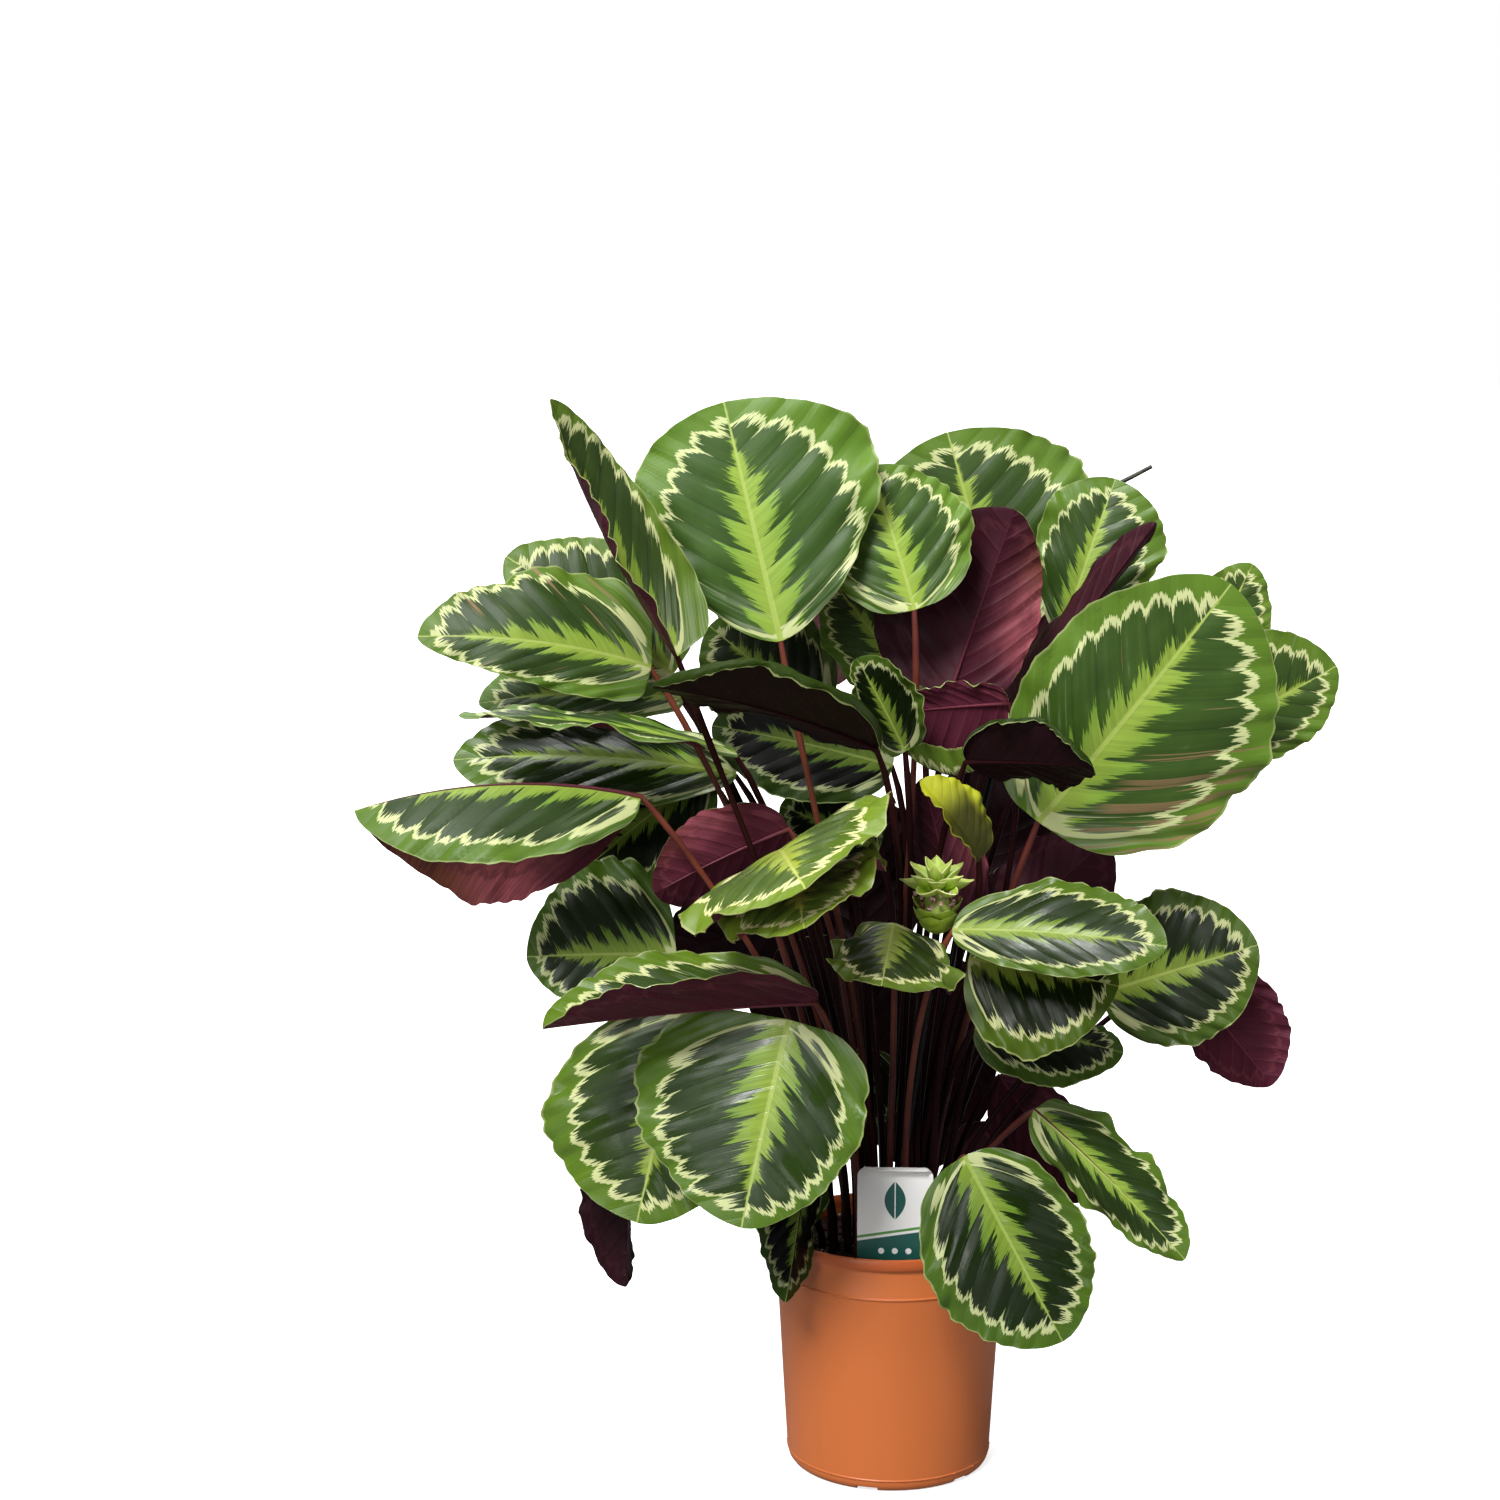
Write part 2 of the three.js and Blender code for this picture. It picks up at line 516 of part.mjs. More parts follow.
// The soil fills the pot, with a plain hole for every stalk and a slot for the card.
function soilSolid() {
  const clear = (radius) => radius - POT_WALL - SEAT_GAP;
  let soil = turned([
    [0, FLOOR_TOP + SEAT_GAP],
    [clear(BODY_FOOT_RADIUS) - 2, FLOOR_TOP + SEAT_GAP],
    [clear(BODY_FOOT_RADIUS) - 0.2, FOOT_LINE_HEIGHT + 2],
    [clear(BODY_TOP_RADIUS), COLLAR_HEIGHT - 2 * SHOULDER],
    [clear(COLLAR_RADIUS), COLLAR_HEIGHT],
    [clear(NECK_RADIUS) + 0.9, SOIL_TOP],
    [0, SOIL_TOP],
  ], POT_SIDES);
  const depth = STALK_SUNK + SEAT_GAP;
  const wide = STALK_FOOT_RADIUS + HOLE_GAP;
  for (const foot of FEET) {
    const ends = [SOIL_TOP - depth, SOIL_TOP + 1].map((z) => new THREE.Vector3(foot.x, foot.y, z));
    soil = soil.subtract(solidOf(stalkThrough(ends, [wide, wide], STALK_SIDES)));
  }
  return soil.subtract(cardPlate(SOIL_TOP - depth, SEAT_GAP));
}

// The flower head: a stubby green cone with a crown of pointed bracts above and shorter ones round its waist.
function flowerSolid() {
  const core = turned(FLOWER_CORE, FLOWER_SIDES).translate(FLOWER_TOP.toArray());
  let flower = stalkSolid(stalkPath(FLOWER_FOOT, FLOWER_TOP, new THREE.Vector3(0, 0, 1))).add(core);
  for (const { count, from, to, widths, turn } of FLOWER_WHORLS) {
    for (let i = 0; i < count; i++) {
      const way = rad(turn + (360 / count) * i);
      const out = new THREE.Vector3(Math.cos(way), Math.sin(way), 0);
      const [base, tip] = [from, to].map(([reach, up]) => {
        const height = FLOWER_TOP.z + up + FLOWER_LEAN * reach * out.y;
        return FLOWER_TOP.clone().addScaledVector(out, reach).setZ(height);
      });
      const faces = [-out.x, -out.y, BRACT_LOOKS_UP];
      flower = flower.add(solidOf(bladeOf({ base, tip, widths, faces, ...BRACT }, ...BRACT_GRID)));
    }
  }
  return flower;
}

// The new leaf: a dark rod that rises behind the others and bends out at its end.
function spearSolid() {
  const [neck, bend, end] = SPEAR_PATH;
  const path = stalkPath(SPEAR_FOOT, neck, bend.clone().sub(neck).normalize()).slice(0, -1);
  path.push(bend, end);
  const radii = path.map(() => SPEAR_RADIUS);
  radii[0] = STALK_FOOT_RADIUS;
  radii[path.length - 1] = SPEAR_POINT;
  return solidOf(stalkThrough(path, radii, STALK_SIDES));
}

const plant = new THREE.Group();
plant.add(meshOf("pot", potSolid(), POT_COLOUR, 0.45));
plant.add(meshOf("soil", soilSolid(), SOIL_COLOUR, 0.95));
plant.add(meshOf("care_card", cardPlate(SOIL_TOP - STALK_SUNK, 0), CARD_COLOUR, 0.4));
plant.add(meshOf("flower_head", flowerSolid(), FLOWER_COLOUR, 0.5));
plant.add(meshOf("new_leaf", spearSolid(), SPEAR_COLOUR, 0.5));
LEAVES.forEach((leaf, i) => plant.add(meshOf(leaf.name, leafSolid(leaf, LEAF_FEET[i]), LEAF_COLOUR, 0.35)));

export default plant;
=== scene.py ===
# A potted medallion calathea: fifty-five patterned leaves on long stalks, a green flower head, a rolled
# new leaf and a plain care card, in a terracotta-coloured nursery pot. The plant's front is towards -Y, and
# lengths are in millimetres until a mesh is made, which is in metres.
import math
import random
from types import SimpleNamespace

import bpy
import numpy as np
from mathutils import Euler, Matrix, Vector, noise


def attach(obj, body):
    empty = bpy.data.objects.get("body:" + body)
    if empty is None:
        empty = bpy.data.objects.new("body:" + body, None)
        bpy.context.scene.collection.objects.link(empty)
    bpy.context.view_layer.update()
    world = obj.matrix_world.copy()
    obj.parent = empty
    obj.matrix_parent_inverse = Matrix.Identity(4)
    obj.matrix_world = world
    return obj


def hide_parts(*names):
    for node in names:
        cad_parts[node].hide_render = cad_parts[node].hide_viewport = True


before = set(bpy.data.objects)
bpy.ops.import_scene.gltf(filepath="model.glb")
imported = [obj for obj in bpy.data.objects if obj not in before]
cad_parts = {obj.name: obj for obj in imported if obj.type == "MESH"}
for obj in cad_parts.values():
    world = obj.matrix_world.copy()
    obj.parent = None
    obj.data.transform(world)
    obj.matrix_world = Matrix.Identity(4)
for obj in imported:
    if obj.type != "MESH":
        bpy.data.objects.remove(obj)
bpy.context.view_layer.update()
bpy.ops.object.select_all(action="DESELECT")
MM = 0.001

# The camera stands 2.2 m in front of the pot's axis and 0.9 m up, and looks down a little, so that the frame
# shows the plant right of its middle with white space above, as the photograph does.
EYE = Vector((0, -2.2, 0.9))
LOOK_DOWN, LOOK_LEFT = 7.75, 3.04
SENSOR_WIDTH = 36
FOCUS_PIXELS, FRAME_PIXELS = 2713, 1500
turn = (math.radians(90 - LOOK_DOWN), 0, math.radians(LOOK_LEFT))
bpy.ops.object.camera_add(location=EYE, rotation=turn)
camera = bpy.context.object
camera.name = "camera"
camera.data.sensor_width = SENSOR_WIDTH
camera.data.lens = SENSOR_WIDTH * (FOCUS_PIXELS / FRAME_PIXELS)
bpy.context.scene.camera = camera

# The stage is one plain pale floor that runs out to a white sky, as in a studio with a white sweep. The light
# is a wide soft one high in front on the left, with weaker ones on the right and behind, and some from all
# round. The lamps are suns, so that the floor is evenly lit as far as it reaches.
FLOOR_SIZE = 600
FLOOR_ROUGHNESS = 0.9
FLOOR_SEEN, FLOOR_THROWN = 0.93, 0.22
FLOOR_GLOW = 0.74
SKY_SEEN, SKY_LIGHT = 1.0, 0.05


def by_sight(tree, socket, thrown, seen):
    """Give the socket one value where the camera sees it, and another for the light that it throws."""
    sight = tree.nodes.new("ShaderNodeLightPath")
    level = tree.nodes.new("ShaderNodeMapRange")
    level.inputs["To Min"].default_value = thrown
    level.inputs["To Max"].default_value = seen
    tree.links.new(sight.outputs["Is Camera Ray"], level.inputs["Value"])
    tree.links.new(level.outputs["Result"], socket)


bpy.ops.mesh.primitive_plane_add(size=FLOOR_SIZE)
floor = bpy.context.object
floor.name = "floor"
paper = bpy.data.materials.new("floor paper")
paper.use_nodes = True
paper_shader = paper.node_tree.nodes["Principled BSDF"].inputs
paper_shader["Roughness"].default_value = FLOOR_ROUGHNESS
paper_shader["Specular IOR Level"].default_value = 0
paper_shader["Emission Color"].default_value = (1, 1, 1, 1)
by_sight(paper.node_tree, paper_shader["Base Color"], FLOOR_THROWN, FLOOR_SEEN)
by_sight(paper.node_tree, paper_shader["Emission Strength"], 0, FLOOR_GLOW)
floor.data.materials.append(paper)

# Each lamp: its name, where its light comes from, how wide it looks in degrees, and its strength.
LAMPS = (
    ("key lamp", (-0.6, -1.3, 1.7), 20, 3.6), ("low lamp", (-0.7, -1.5, 0.4), 24, 0.65),
    ("side lamp", (1.6, -1.2, 0.9), 30, 0.5), ("back lamp", (-0.7, 1.5, 1.3), 40, 1.0),
    ("top lamp", (-0.2, 0.4, 1.7), 30, 1.5),
)
for name, source, width, power in LAMPS:
    bpy.ops.object.light_add(type="SUN", rotation=Vector(source).to_track_quat("Z", "Y").to_euler())
    lamp = bpy.context.object
    lamp.name = name
    lamp.data.angle = math.radians(width)
    lamp.data.energy = power

sky = bpy.data.worlds.new("white sky")
sky.use_nodes = True
background = sky.node_tree.nodes["Background"].inputs
background["Color"].default_value = (1, 1, 1, 1)
by_sight(sky.node_tree, background["Strength"], SKY_LIGHT, SKY_SEEN)
bpy.context.scene.world = sky
bpy.context.scene.view_settings.view_transform = "Standard"

# The leaves: each is a thin glossy blade on a red-brown stalk. The blade is dark green with a pale ring and a
# pale feather along its midrib on top, and purple beneath, and its side veins pleat it. A blade starts as a
# flat grid that is bent to its place, and its stalk runs on beneath it as the midrib.
SOIL_TOP = 184
CROWN_RADIUS = 62
CROWN_EASE = 0.4
FOOT_SPACING = 12.5
FOOT_ROUNDS = 200
STALK_FOOT_RADIUS, STALK_TOP_RADIUS = 3.1, 2.2
STALK_SUNK = 11
STALK_CLEAR = 6
STALK_RISE, STALK_RISE_FROM = 0.35, 60
STALK_TURN_IN = 0.25
STALK_ARRIVE = 0.3
STALK_STEPS = 18
STALK_ROUNDNESS = 3
CUSHION, CUSHION_RINGS = 0.5, 3
RIB_STEPS = 12
RIB_END, RIB_END_RADIUS = 0.93, 0.35
RIB_TAPER = 0.45
RIB_SUNK = 0.2
RIB_FADE = 12
BLADE_THICKNESS = 0.7
BLADE_NECK, BLADE_POINT = 6, 3
BASE_FULLNESS, TIP_FULLNESS = 0.36, 0.56
BLADE_GRID = (44, 64)
ROW_EASE = 0.08
EDGE_WAVE_POWER = 2.5
EDGE_WAVES, MORE_EDGE_WAVES = 2, 0.5
HALF_LEAF_PHASE = 0.37
GOLDEN_PHASE = 0.618
VEINS = 8
VEIN_SLANT, VEIN_BEND = 0.30, 0.12
PLEAT_INNER, PLEAT_EDGE = 1.5, 3
PLEAT_UNEVEN = 0.6
PLEAT_LEVEL = 0.6
FULL_PLEAT_WIDTH = 140
RIPPLE, RIPPLES = 1.3, 7
SCALLOP = 0.008
EDGE_WANDER, EDGE_WANDERS = 0.018, 3.4
EDGE_NICK, EDGE_NICKS = 0.01, 11.3
GROOVE, GROOVE_WIDTH = 0.9, 4
ROLL_RADIUS = 4
ROLL_MOST = 0.65
NO_ROLL = 0.01
ROLLED_EDGES = {"inner_cup": (NO_ROLL, 34), "inner_dark": (NO_ROLL, 8), "inner_long_purple": (13, NO_ROLL)}
SHARP_FOLD = math.radians(60)

# Each row has the leaf's name, then the base and the tip of the blade as [x, z, depth], seen from the camera:
# x and z on the upright plane through the pot's axis, depth the distance behind that plane. Then come the
# widths of its left and right half, where its upper face looks, the midrib's bow, the fold and the curl of the
# two halves in degrees, the height of the waves of its edge, and the share of its length where it is widest.
# Its finish and painted light is how bright it is, which holds painted shade where the leaf stands in the
# shade of others and painted light on a few that stand in light, how yellow, how much painted light glows pink
# beneath and on which half by its sign, how glossy and how dry, with zeros at the end left out, and brightness
# and yellow drawn by chance where it is empty. Some rows end with the stalk's foot.
ROWS = (
    ("top_left_tall", [-176, 677, -92], [-279, 885, -108], [62, 48], [0.6, -0.8, 0.2],
     -35, [54, 15], [20, 20], 4, 0.3, (1.0, 0.4, 0.2, 0.2)),
    ("left_upper", [-198, 668, 5], [-390, 692, -30], [38, 74], [0.1, -0.9, 0.5],
     50, [-5, 5], [-15, -25], 5, 0.3, (0.95, 0.25, 0, 0, 0.15)),
    ("top_centre", [-92, 690, -50], [-138, 883, -20], [91, 110], [0.05, -1, 0.1],
     15, [5, 5], [-15, -10], 5, 0.66, (1.2, 0.1)),
    ("top_inner", [17, 716, -30], [-20, 832, -5], [58, 66], [0.3, -1, 0.1],
     15, [-15, 5], [-20, -10], 4, 0.5, (1.2, 0.2, 0, 0.2)),
    ("top_right_back", [90, 690, 130], [42, 859, 158], [91, 107], [0.1, -1, 0.15],
     10, [2, 5], [-5, -15], 5, 0.64, (1.05, 0.2)),
    ("top_right", [135, 694, 92], [177, 822, 110], [48, 60], [-0.1, -1, 0.2],
     20, [5, 5], [-5, -20], 4, 0.66, (1.0, 0.2, 0, 0.3)),
    ("top_right_rolled", [80, 605, 25], [210, 787, 45], [24, 38], [0.1, 1, 0.2],
     10, [50, 45], [50, 40], 3, 0.5, (0.5, 0)),
    ("top_purple", [46, 646, 0], [97, 797, 20], [50, 84], [0.1, 1, 0.2],
     30, [10, 10], [-10, -10], 5, 0.42, (0.75, 0.0, -0.9)),
    ("inner_cup", [94, 640, -44], [-6, 630, -50], [22, 56], [0.05, 1, 0.2],
     20, [-5, -5], [-15, 15], 3, 0.45, (1.2, 0.5, 0.1, 0.5), [36, -16]),
    ("inner_dark", [60, 592, -74], [163, 588, -138], [40, 38], [0, 0.9, 0.4],
     10, [20, 10], [20, 10], 5, 0.5, (0.13, 0), [18, -28]),
    ("right_big", [119, 543, -50], [271, 738, -88], [84, 115], [0.2, -1, 0.25],
     25, [5, 5], [-10, -25], 4, 0.5, (1.15, 0.2, 0, 0.1, 0.5)),
    ("right_small_back", [236, 650, 130], [288, 754, 140], [36, 42], [0.2, -0.9, 0.4],
     20, [1, 1], [-1, -20], 4, 0.5, (1.1, 0.4)),
    ("far_right", [225, 600, 45], [357, 672, 30], [66, 45], [0.3, -1, 0.2],
     30, [1, 5], [-10, -20], 5, 0.55, (1.1, 0.3)),
    ("left_mid_back", [-172, 642, 78], [-340, 637, 30], [27, 50], [0, -0.75, 0.75],
     30, [-5, 1], [-10, 10], 4, 0.5, (0.95, 0.1)),
    ("left_mid_folded", [-128, 597, -30], [-357, 627, -72], [55, 45], [0, -0.2, 1],
     20, [10, -5], [5, -5], 4, 0.45, (0.9, 0.1, 0, 0.5)),
    ("left_mid_low", [-128, 580, 32], [-362, 590, 8], [50, 57], [0, -0.6, 0.75],
     25, [-5, 1], [-15, -10], 4, 0.6, (0.6, 0.1, 0, 1.0)),
    ("left_drooping", [-207, 562, -75], [-445, 547, -110], [72, 108], [0.1, -0.5, 0.85],
     40, [-12, -98], [-15, -10], 4, 0.54, (0.82, 0.2, 1.4)),
    ("left_shade", [-152, 580, 35], [-258, 495, 25], [50, 60], [-0.1, -0.9, 0.4],
     30, [1, 1], [-10, -10], 4, 0.5, (0.4, 0.1, 0, 0.3)),
    ("inner_purple_left", [-85, 536, -45], [-196, 480, -58], [40, 48], [0, 1, 0.4],
     20, [10, 10], [10, 10], 3, 0.5, (1.2, 0.0, -0.5)),
    ("front_bright", [-91, 516, -80], [-71, 485, -240], [94, 94], [-0.48, -0.21, 0.85],
     40, [1, 1], [-10, -10], 8, 0.5, (1.4, 0.8, 0, 0.8)),
    ("front_bright_under", [-70, 494, -100], [-72, 452, -225], [68, 66], [-0.4, -0.4, 0.85],
     40, [1, 1], [-10, -10], 8, 0.5, (1.8, 0.89, 0, 0.6)),
    ("inner_long_purple", [-12, 602, -105], [-197, 652, -135], [55, 45], [0, 0.5, 0.85],
     20, [10, 10], [10, 10], 4, 0.5, (0.15, 0.2)),
    ("behind_centre", [-60, 628, 80], [-150, 702, 75], [55, 60], [0, -1, 0.2],
     10, [1, 1], [-10, -10], 4, 0.5, (0.5, 0.1)),
    ("inner_band", [22, 648, 50], [-52, 742, 40], [42, 45], [-0.2, -1, 0.2],
     10, [1, 1], [-20, -20], 4, 0.5, (0.95, 0.2)),
    ("young_yellow", [72, 512, -79], [23, 576, -94], [14, 30], [-0.35, -0.6, 0.8],
     50, [30, 10], [30, -40], 2, 0.5, (1.1, 1.0)),
    ("young_purple", [58, 450, -25], [25, 578, -20], [38, 30], [0.1, 1, 0],
     10, [20, 20], [20, 20], 2, 0.5, (0.7, 0.0, -0.8)),
    ("left_low_back", [-178, 428, -35], [-303, 425, -65], [50, 86], [0, -0.9, 0.45],
     20, [1, 1], [-10, -15], 4, 0.42, (0.5, 0.1, 0, 0.3)),
    ("left_low_folded", [-62, 390, -100], [-290, 364, -165], [56, 58], [0, -0.5, 0.85],
     8, [65, 12], [10, 1], 4, 0.5, (1.0, 0.4, 0, 0.8)),
    ("left_low_hanging", [-165, 384, -60], [-212, 198, -95], [65, 101], [-0.25, -1, 0.25],
     15, [5, 5], [-15, -15], 4, 0.58, (0.85, 0.3, 0, 1.0)),
    ("front_left", [-84, 374, -120], [-124, 195, -170], [76, 114], [-0.1, -1, 0.35],
     15, [1, 1], [-15, -20], 3, 0.4, (0.74, 0.2, 0, 0.8)),
    ("left_low_dark", [-216, 290, -40], [-222, 142, -50], [42, 42], [-0.5, 0.8, 0.2],
     15, [45, 45], [20, 20], 4, 0.5, (0.22, 0)),
    ("pot_side_dark", [-66, 290, -85], [-87, 131, -115], [42, 42], [0.2, -0.9, 0.2],
     15, [-45, -45], [-20, -20], 4, 0.5, (0.14, 0.0, 0, 0.8), [-47, -36]),
    ("front_small", [2, 457, -92], [-8, 404, -165], [62, 48], [0.08, -0.6, 0.9],
     35, [-8, -8], [-25, -25], 8, 0.56, (0.75, 0.7, 0, 0.5)),
    ("right_mid", [50, 452, -105], [226, 440, -145], [50, 34], [0, -0.75, 0.7],
     20, [1, -10], [-10, -20], 4, 0.55, (0.66, 0.3, 0, 0.7)),
    ("right_mid_under", [64, 428, -75], [187, 406, -105], [40, 74], [0, -0.85, 0.6],
     20, [1, 1], [-15, -15], 4, 0.5, (0.38, 0.5, 0, 0.5), [34, -28]),
    ("right_side", [172, 400, 0], [300, 442, -30], [66, 62], [0.1, -1, 0.3],
     20, [1, 1], [-15, -15], 4, 0.5, (0.45, 0.3, 0, 0.5)),
    ("right_purple", [234, 420, 35], [314, 324, 25], [45, 52], [0.3, 0.9, 0.3],
     15, [5, 5], [10, 10], 3, 0.5, (1.35, 0)),
    ("right_dark_low", [70, 372, -40], [192, 350, -60], [32, 48], [0, -0.6, 0.8],
     20, [1, 1], [-20, -20], 4, 0.5, (0.3, 0.1)),
    ("right_low_slim", [119, 300, -60], [246, 174, -105], [48, 31], [0.3, -0.9, 0.5],
     20, [-5, -45], [-30, -20], 4, 0.46, (0.75, 0.2, 0, 0.4)),
    ("right_low_purple", [90, 330, 30], [158, 222, 20], [36, 36], [0.2, 1, 0.2],
     15, [5, 5], [10, 10], 4, 0.5, (0.5, 0)),
    ("front_right", [62, 260, -135], [146, 101, -165], [60, 72], [0.05, -1, 0.2],
     15, [5, 5], [-25, -25], 3, 0.52, (0.5, 0.1, 0, 1.0), [46, -30]),
    ("inner_low", [-14, 350, 112], [-24, 282, 122], [32, 32], [0, -1, 0.3],
     15, [1, 1], [-10, -10], 3, 0.5, (0.3, 0)),
    ("right_brown_back", [80, 440, 8], [175, 528, 12], [52, 44], [0.3, 1, 0.1],
     10, [10, 10], [10, 10], 3, 0.5, (0.5, 0)),
    ("inner_green", [-10, 520, 44], [-92, 554, 42], [34, 38], [0, -0.9, 0.5],
     15, [1, 1], [-10, -10], 3, 0.5, (0.3, 0)),
    ("inner_streaked", [0, 588, 20], [-148, 620, 24], [52, 57], [0, -0.8, 0.6],
     15, [1, 1], [-10, -10], 3, 0.5, (0.12, 0.0, 0, 0.1)),
    ("back_top_left", [-60, 650, 150], [-110, 850, 230], [70, 75], [-0.2, 1, 0.25],
     20, [5, 5], [-10, -10], 5, 0.5, ()),
    ("back_top_right", [70, 640, 170], [85, 830, 270], [70, 70], [0.2, 1, 0.25],
     20, [5, 5], [-10, -10], 5, 0.5, ()),
    ("back_right", [62, 480, 118], [112, 612, 195], [60, 60], [0.3, 1, 0.3],
     25, [5, 5], [-10, -15], 5, 0.5, (0.25, 0)),
    ("left_upper_back", [-180, 662, 62], [-316, 758, 76], [50, 68], [0.1, -0.9, 0.4],
     25, [5, 5], [-10, -15], 5, 0.42, (0.9, 0.3)),
    ("back_centre", [-18, 432, 138], [-35, 566, 210], [64, 64], [0, 0.9, 0.5],
     25, [5, 5], [-10, -15], 5, 0.5, (0.25, 0)),
    ("back_left_low", [-50, 470, 120], [-190, 425, 150], [50, 50], [-0.1, 1, 0.2],
     20, [1, 1], [-15, -15], 4, 0.5, (0.25, 0)),
    ("inner_lobe", [10, 600, -61], [-30, 676, -62], [34, 34], [0.25, -1, 0.25],
     20, [25, 25], [40, 40], 3, 0.5, (0.35, 0.2, 0, 0.3)),
    ("back_centre_low", [28, 435, 132], [24, 245, 165], [68, 68], [0, 1, 0.3],
     20, [1, 1], [-15, -15], 5, 0.5, (0.2, 0)),
    ("back_left_hanging", [-52, 446, 114], [-88, 318, 166], [50, 50], [-0.2, 1, 0.3],
     25, [1, 1], [-15, -15], 4, 0.5, (0.2, 0)),
    ("back_right_hanging", [75, 290, 110], [125, 180, 165], [45, 45], [0.4, 1, 0.4],
     25, [1, 1], [-15, -15], 4, 0.5, ()),
)


def unit(vector):
    return vector / np.linalg.norm(vector)


def placed(point):
    """The true place of a point that the camera sees at x, z and that lies at this depth, in millimetres."""
    x, z, depth = point
    eye_distance, eye_height = -EYE.y / MM, EYE.z / MM
    spread = 1 + depth / eye_distance
    return np.array([x * spread, depth, eye_height + (z - eye_height) * spread])


class Leaf:
    """One row of the leaves, with the frame that its blade is bent in.

    Share runs from 0 at the base to 1 at the tip, and across from -1 at the left edge to 1 at the right one.
    Sides are 0 and 1 for left and right. The odd factors of the phase only keep the waves out of step.
    """

    def __init__(self, number, row):
        self.name, base, tip, self.widths, faces, bow, fold, curl, *rest = row
        self.wave, self.full, self.finish, *foot = rest
        self.base, self.tip = placed(base), placed(tip)
        self.foot = foot[0] if foot else None
        self.bow = math.radians(bow)
        self.fold = np.radians(fold)
        self.curl = np.radians(curl)
        self.waves = EDGE_WAVES + MORE_EDGE_WAVES * (number % 3)
        self.phase = (GOLDEN_PHASE * number) % 1
        self.reach = np.linalg.norm(self.tip - self.base)
        self.along = unit(self.tip - self.base)
        self.roll = np.array(ROLLED_EDGES.get(self.name, (NO_ROLL, NO_ROLL)))
        self.looks = unit(np.array(faces, float) - np.dot(faces, self.along) * self.along)
        self.right = np.cross(self.along, self.looks)

    def half_width(self, share, side):
        """How far the edge is from the midrib."""
        place = share ** (math.log(0.5) / math.log(self.full))
        fullness = np.where(share < self.full, BASE_FULLNESS, TIP_FULLNESS)
        round_share = np.sin(np.pi * np.minimum(place, 1)) ** fullness
        neck = (BLADE_NECK * (1 - share) + BLADE_POINT * share) / 2
        return np.maximum(np.take(self.widths, side) * round_share, neck)

    def vein_place(self, share, across):
        """How far out the point is, how near a vein, and how deep the pleat is that it lies in."""
        side = (across >= 0).astype(int)
        out = np.abs(across) * self.half_width(share, side) / np.take(self.widths, side)
        start = share - VEIN_SLANT * out - VEIN_BEND * out ** 2
        count = VEINS * start + 0.5 * side + self.phase
        depth = 1 + PLEAT_UNEVEN * np.sin(2.4 * np.floor(count) + 9 * self.phase + 2 * side)
        return out, np.abs(2 * (count % 1) - 1), depth

    def surface(self, share, across):
        """The points of the blade's middle and the way its upper face looks there."""
        length = self.reach * self.bow / 2 / math.sin(self.bow / 2)
        turn = (self.bow / 2 - self.bow * share)[:, None]
        forward = length * (math.sin(self.bow / 2) - np.sin(turn)) / self.bow
        rise = length * (np.cos(turn) - math.cos(self.bow / 2)) / self.bow
        rib = self.base + self.along * forward + self.looks * rise
        lift = self.looks * np.cos(turn) - self.along * np.sin(turn)
        side = (across >= 0).astype(int)
        sign = np.where(side, 1, -1)
        far = np.abs(across)
        _, vein, depth = self.vein_place(share, across)
        plump = 1 - vein ** 2
        fold, bend = self.fold[side], self.curl[side] / np.take(self.widths, side)
        wander = EDGE_WANDER * np.sin(2 * np.pi * (EDGE_WANDERS * share + 5 * self.phase + 0.4 * side))
        nick = EDGE_NICK * np.sin(2 * np.pi * (EDGE_NICKS * share ** 1.3 + 7 * self.phase + 0.6 * side))
        uneven = far ** 4 * (SCALLOP * (2 * plump - 1) + wander + nick)
        whole = self.half_width(share, side) * (1 + uneven)
        band = np.minimum(self.roll[side], whole * ROLL_MOST)
        radius = np.minimum(ROLL_RADIUS, band / math.pi)
        whole += band - radius
        reach = np.minimum(far * whole, whole - band)
        rolled = np.minimum((far * whole - reach) / radius, math.pi)
        flap = far * whole - reach - rolled * radius
        slope = fold + bend * reach
        sideways = (np.sin(slope) - np.sin(fold)) / bend
        upward = (np.cos(fold) - np.cos(slope)) / bend
        ahead, below = radius * np.sin(rolled) - flap, radius * (1 - np.cos(rolled))
        sideways += ahead * np.cos(slope) + below * np.sin(slope)
        upward += ahead * np.sin(slope) - below * np.cos(slope)
        normal = lift * np.cos(slope)[:, None] - self.right * (sign * np.sin(slope))[:, None]
        ends = np.sqrt(np.sin(np.pi * share))
        swing = np.sin(2 * np.pi * (self.waves * share + self.phase + HALF_LEAF_PHASE * side))
        relief = self.wave * far ** EDGE_WAVE_POWER * ends * swing
        ripple = np.sin(2 * np.pi * (RIPPLES * share + 3 * self.phase + 0.3 * side))
        relief += RIPPLE * far ** 4 * ends * ripple
        size = min(1, sum(self.widths) / FULL_PLEAT_WIDTH)
        pleats = PLEAT_INNER * np.minimum(4 * far, 1) + PLEAT_EDGE * far ** 3
        relief += size * ends * pleats * (depth * plump - PLEAT_LEVEL)
        relief -= GROOVE * ends * np.exp(-(reach / GROOVE_WIDTH) ** 2)
        point = rib + self.right * (sign * sideways)[:, None] + lift * upward[:, None]
        return point + normal * relief[:, None], normal


LEAVES = [Leaf(number, row) for number, row in enumerate(ROWS)]
FLOWER_TOP = placed((37, 452, -84))
SPEAR_PATH = [placed(point) for point in ((124, 745, 150), (174, 815, 124), (206, 832, 120))]


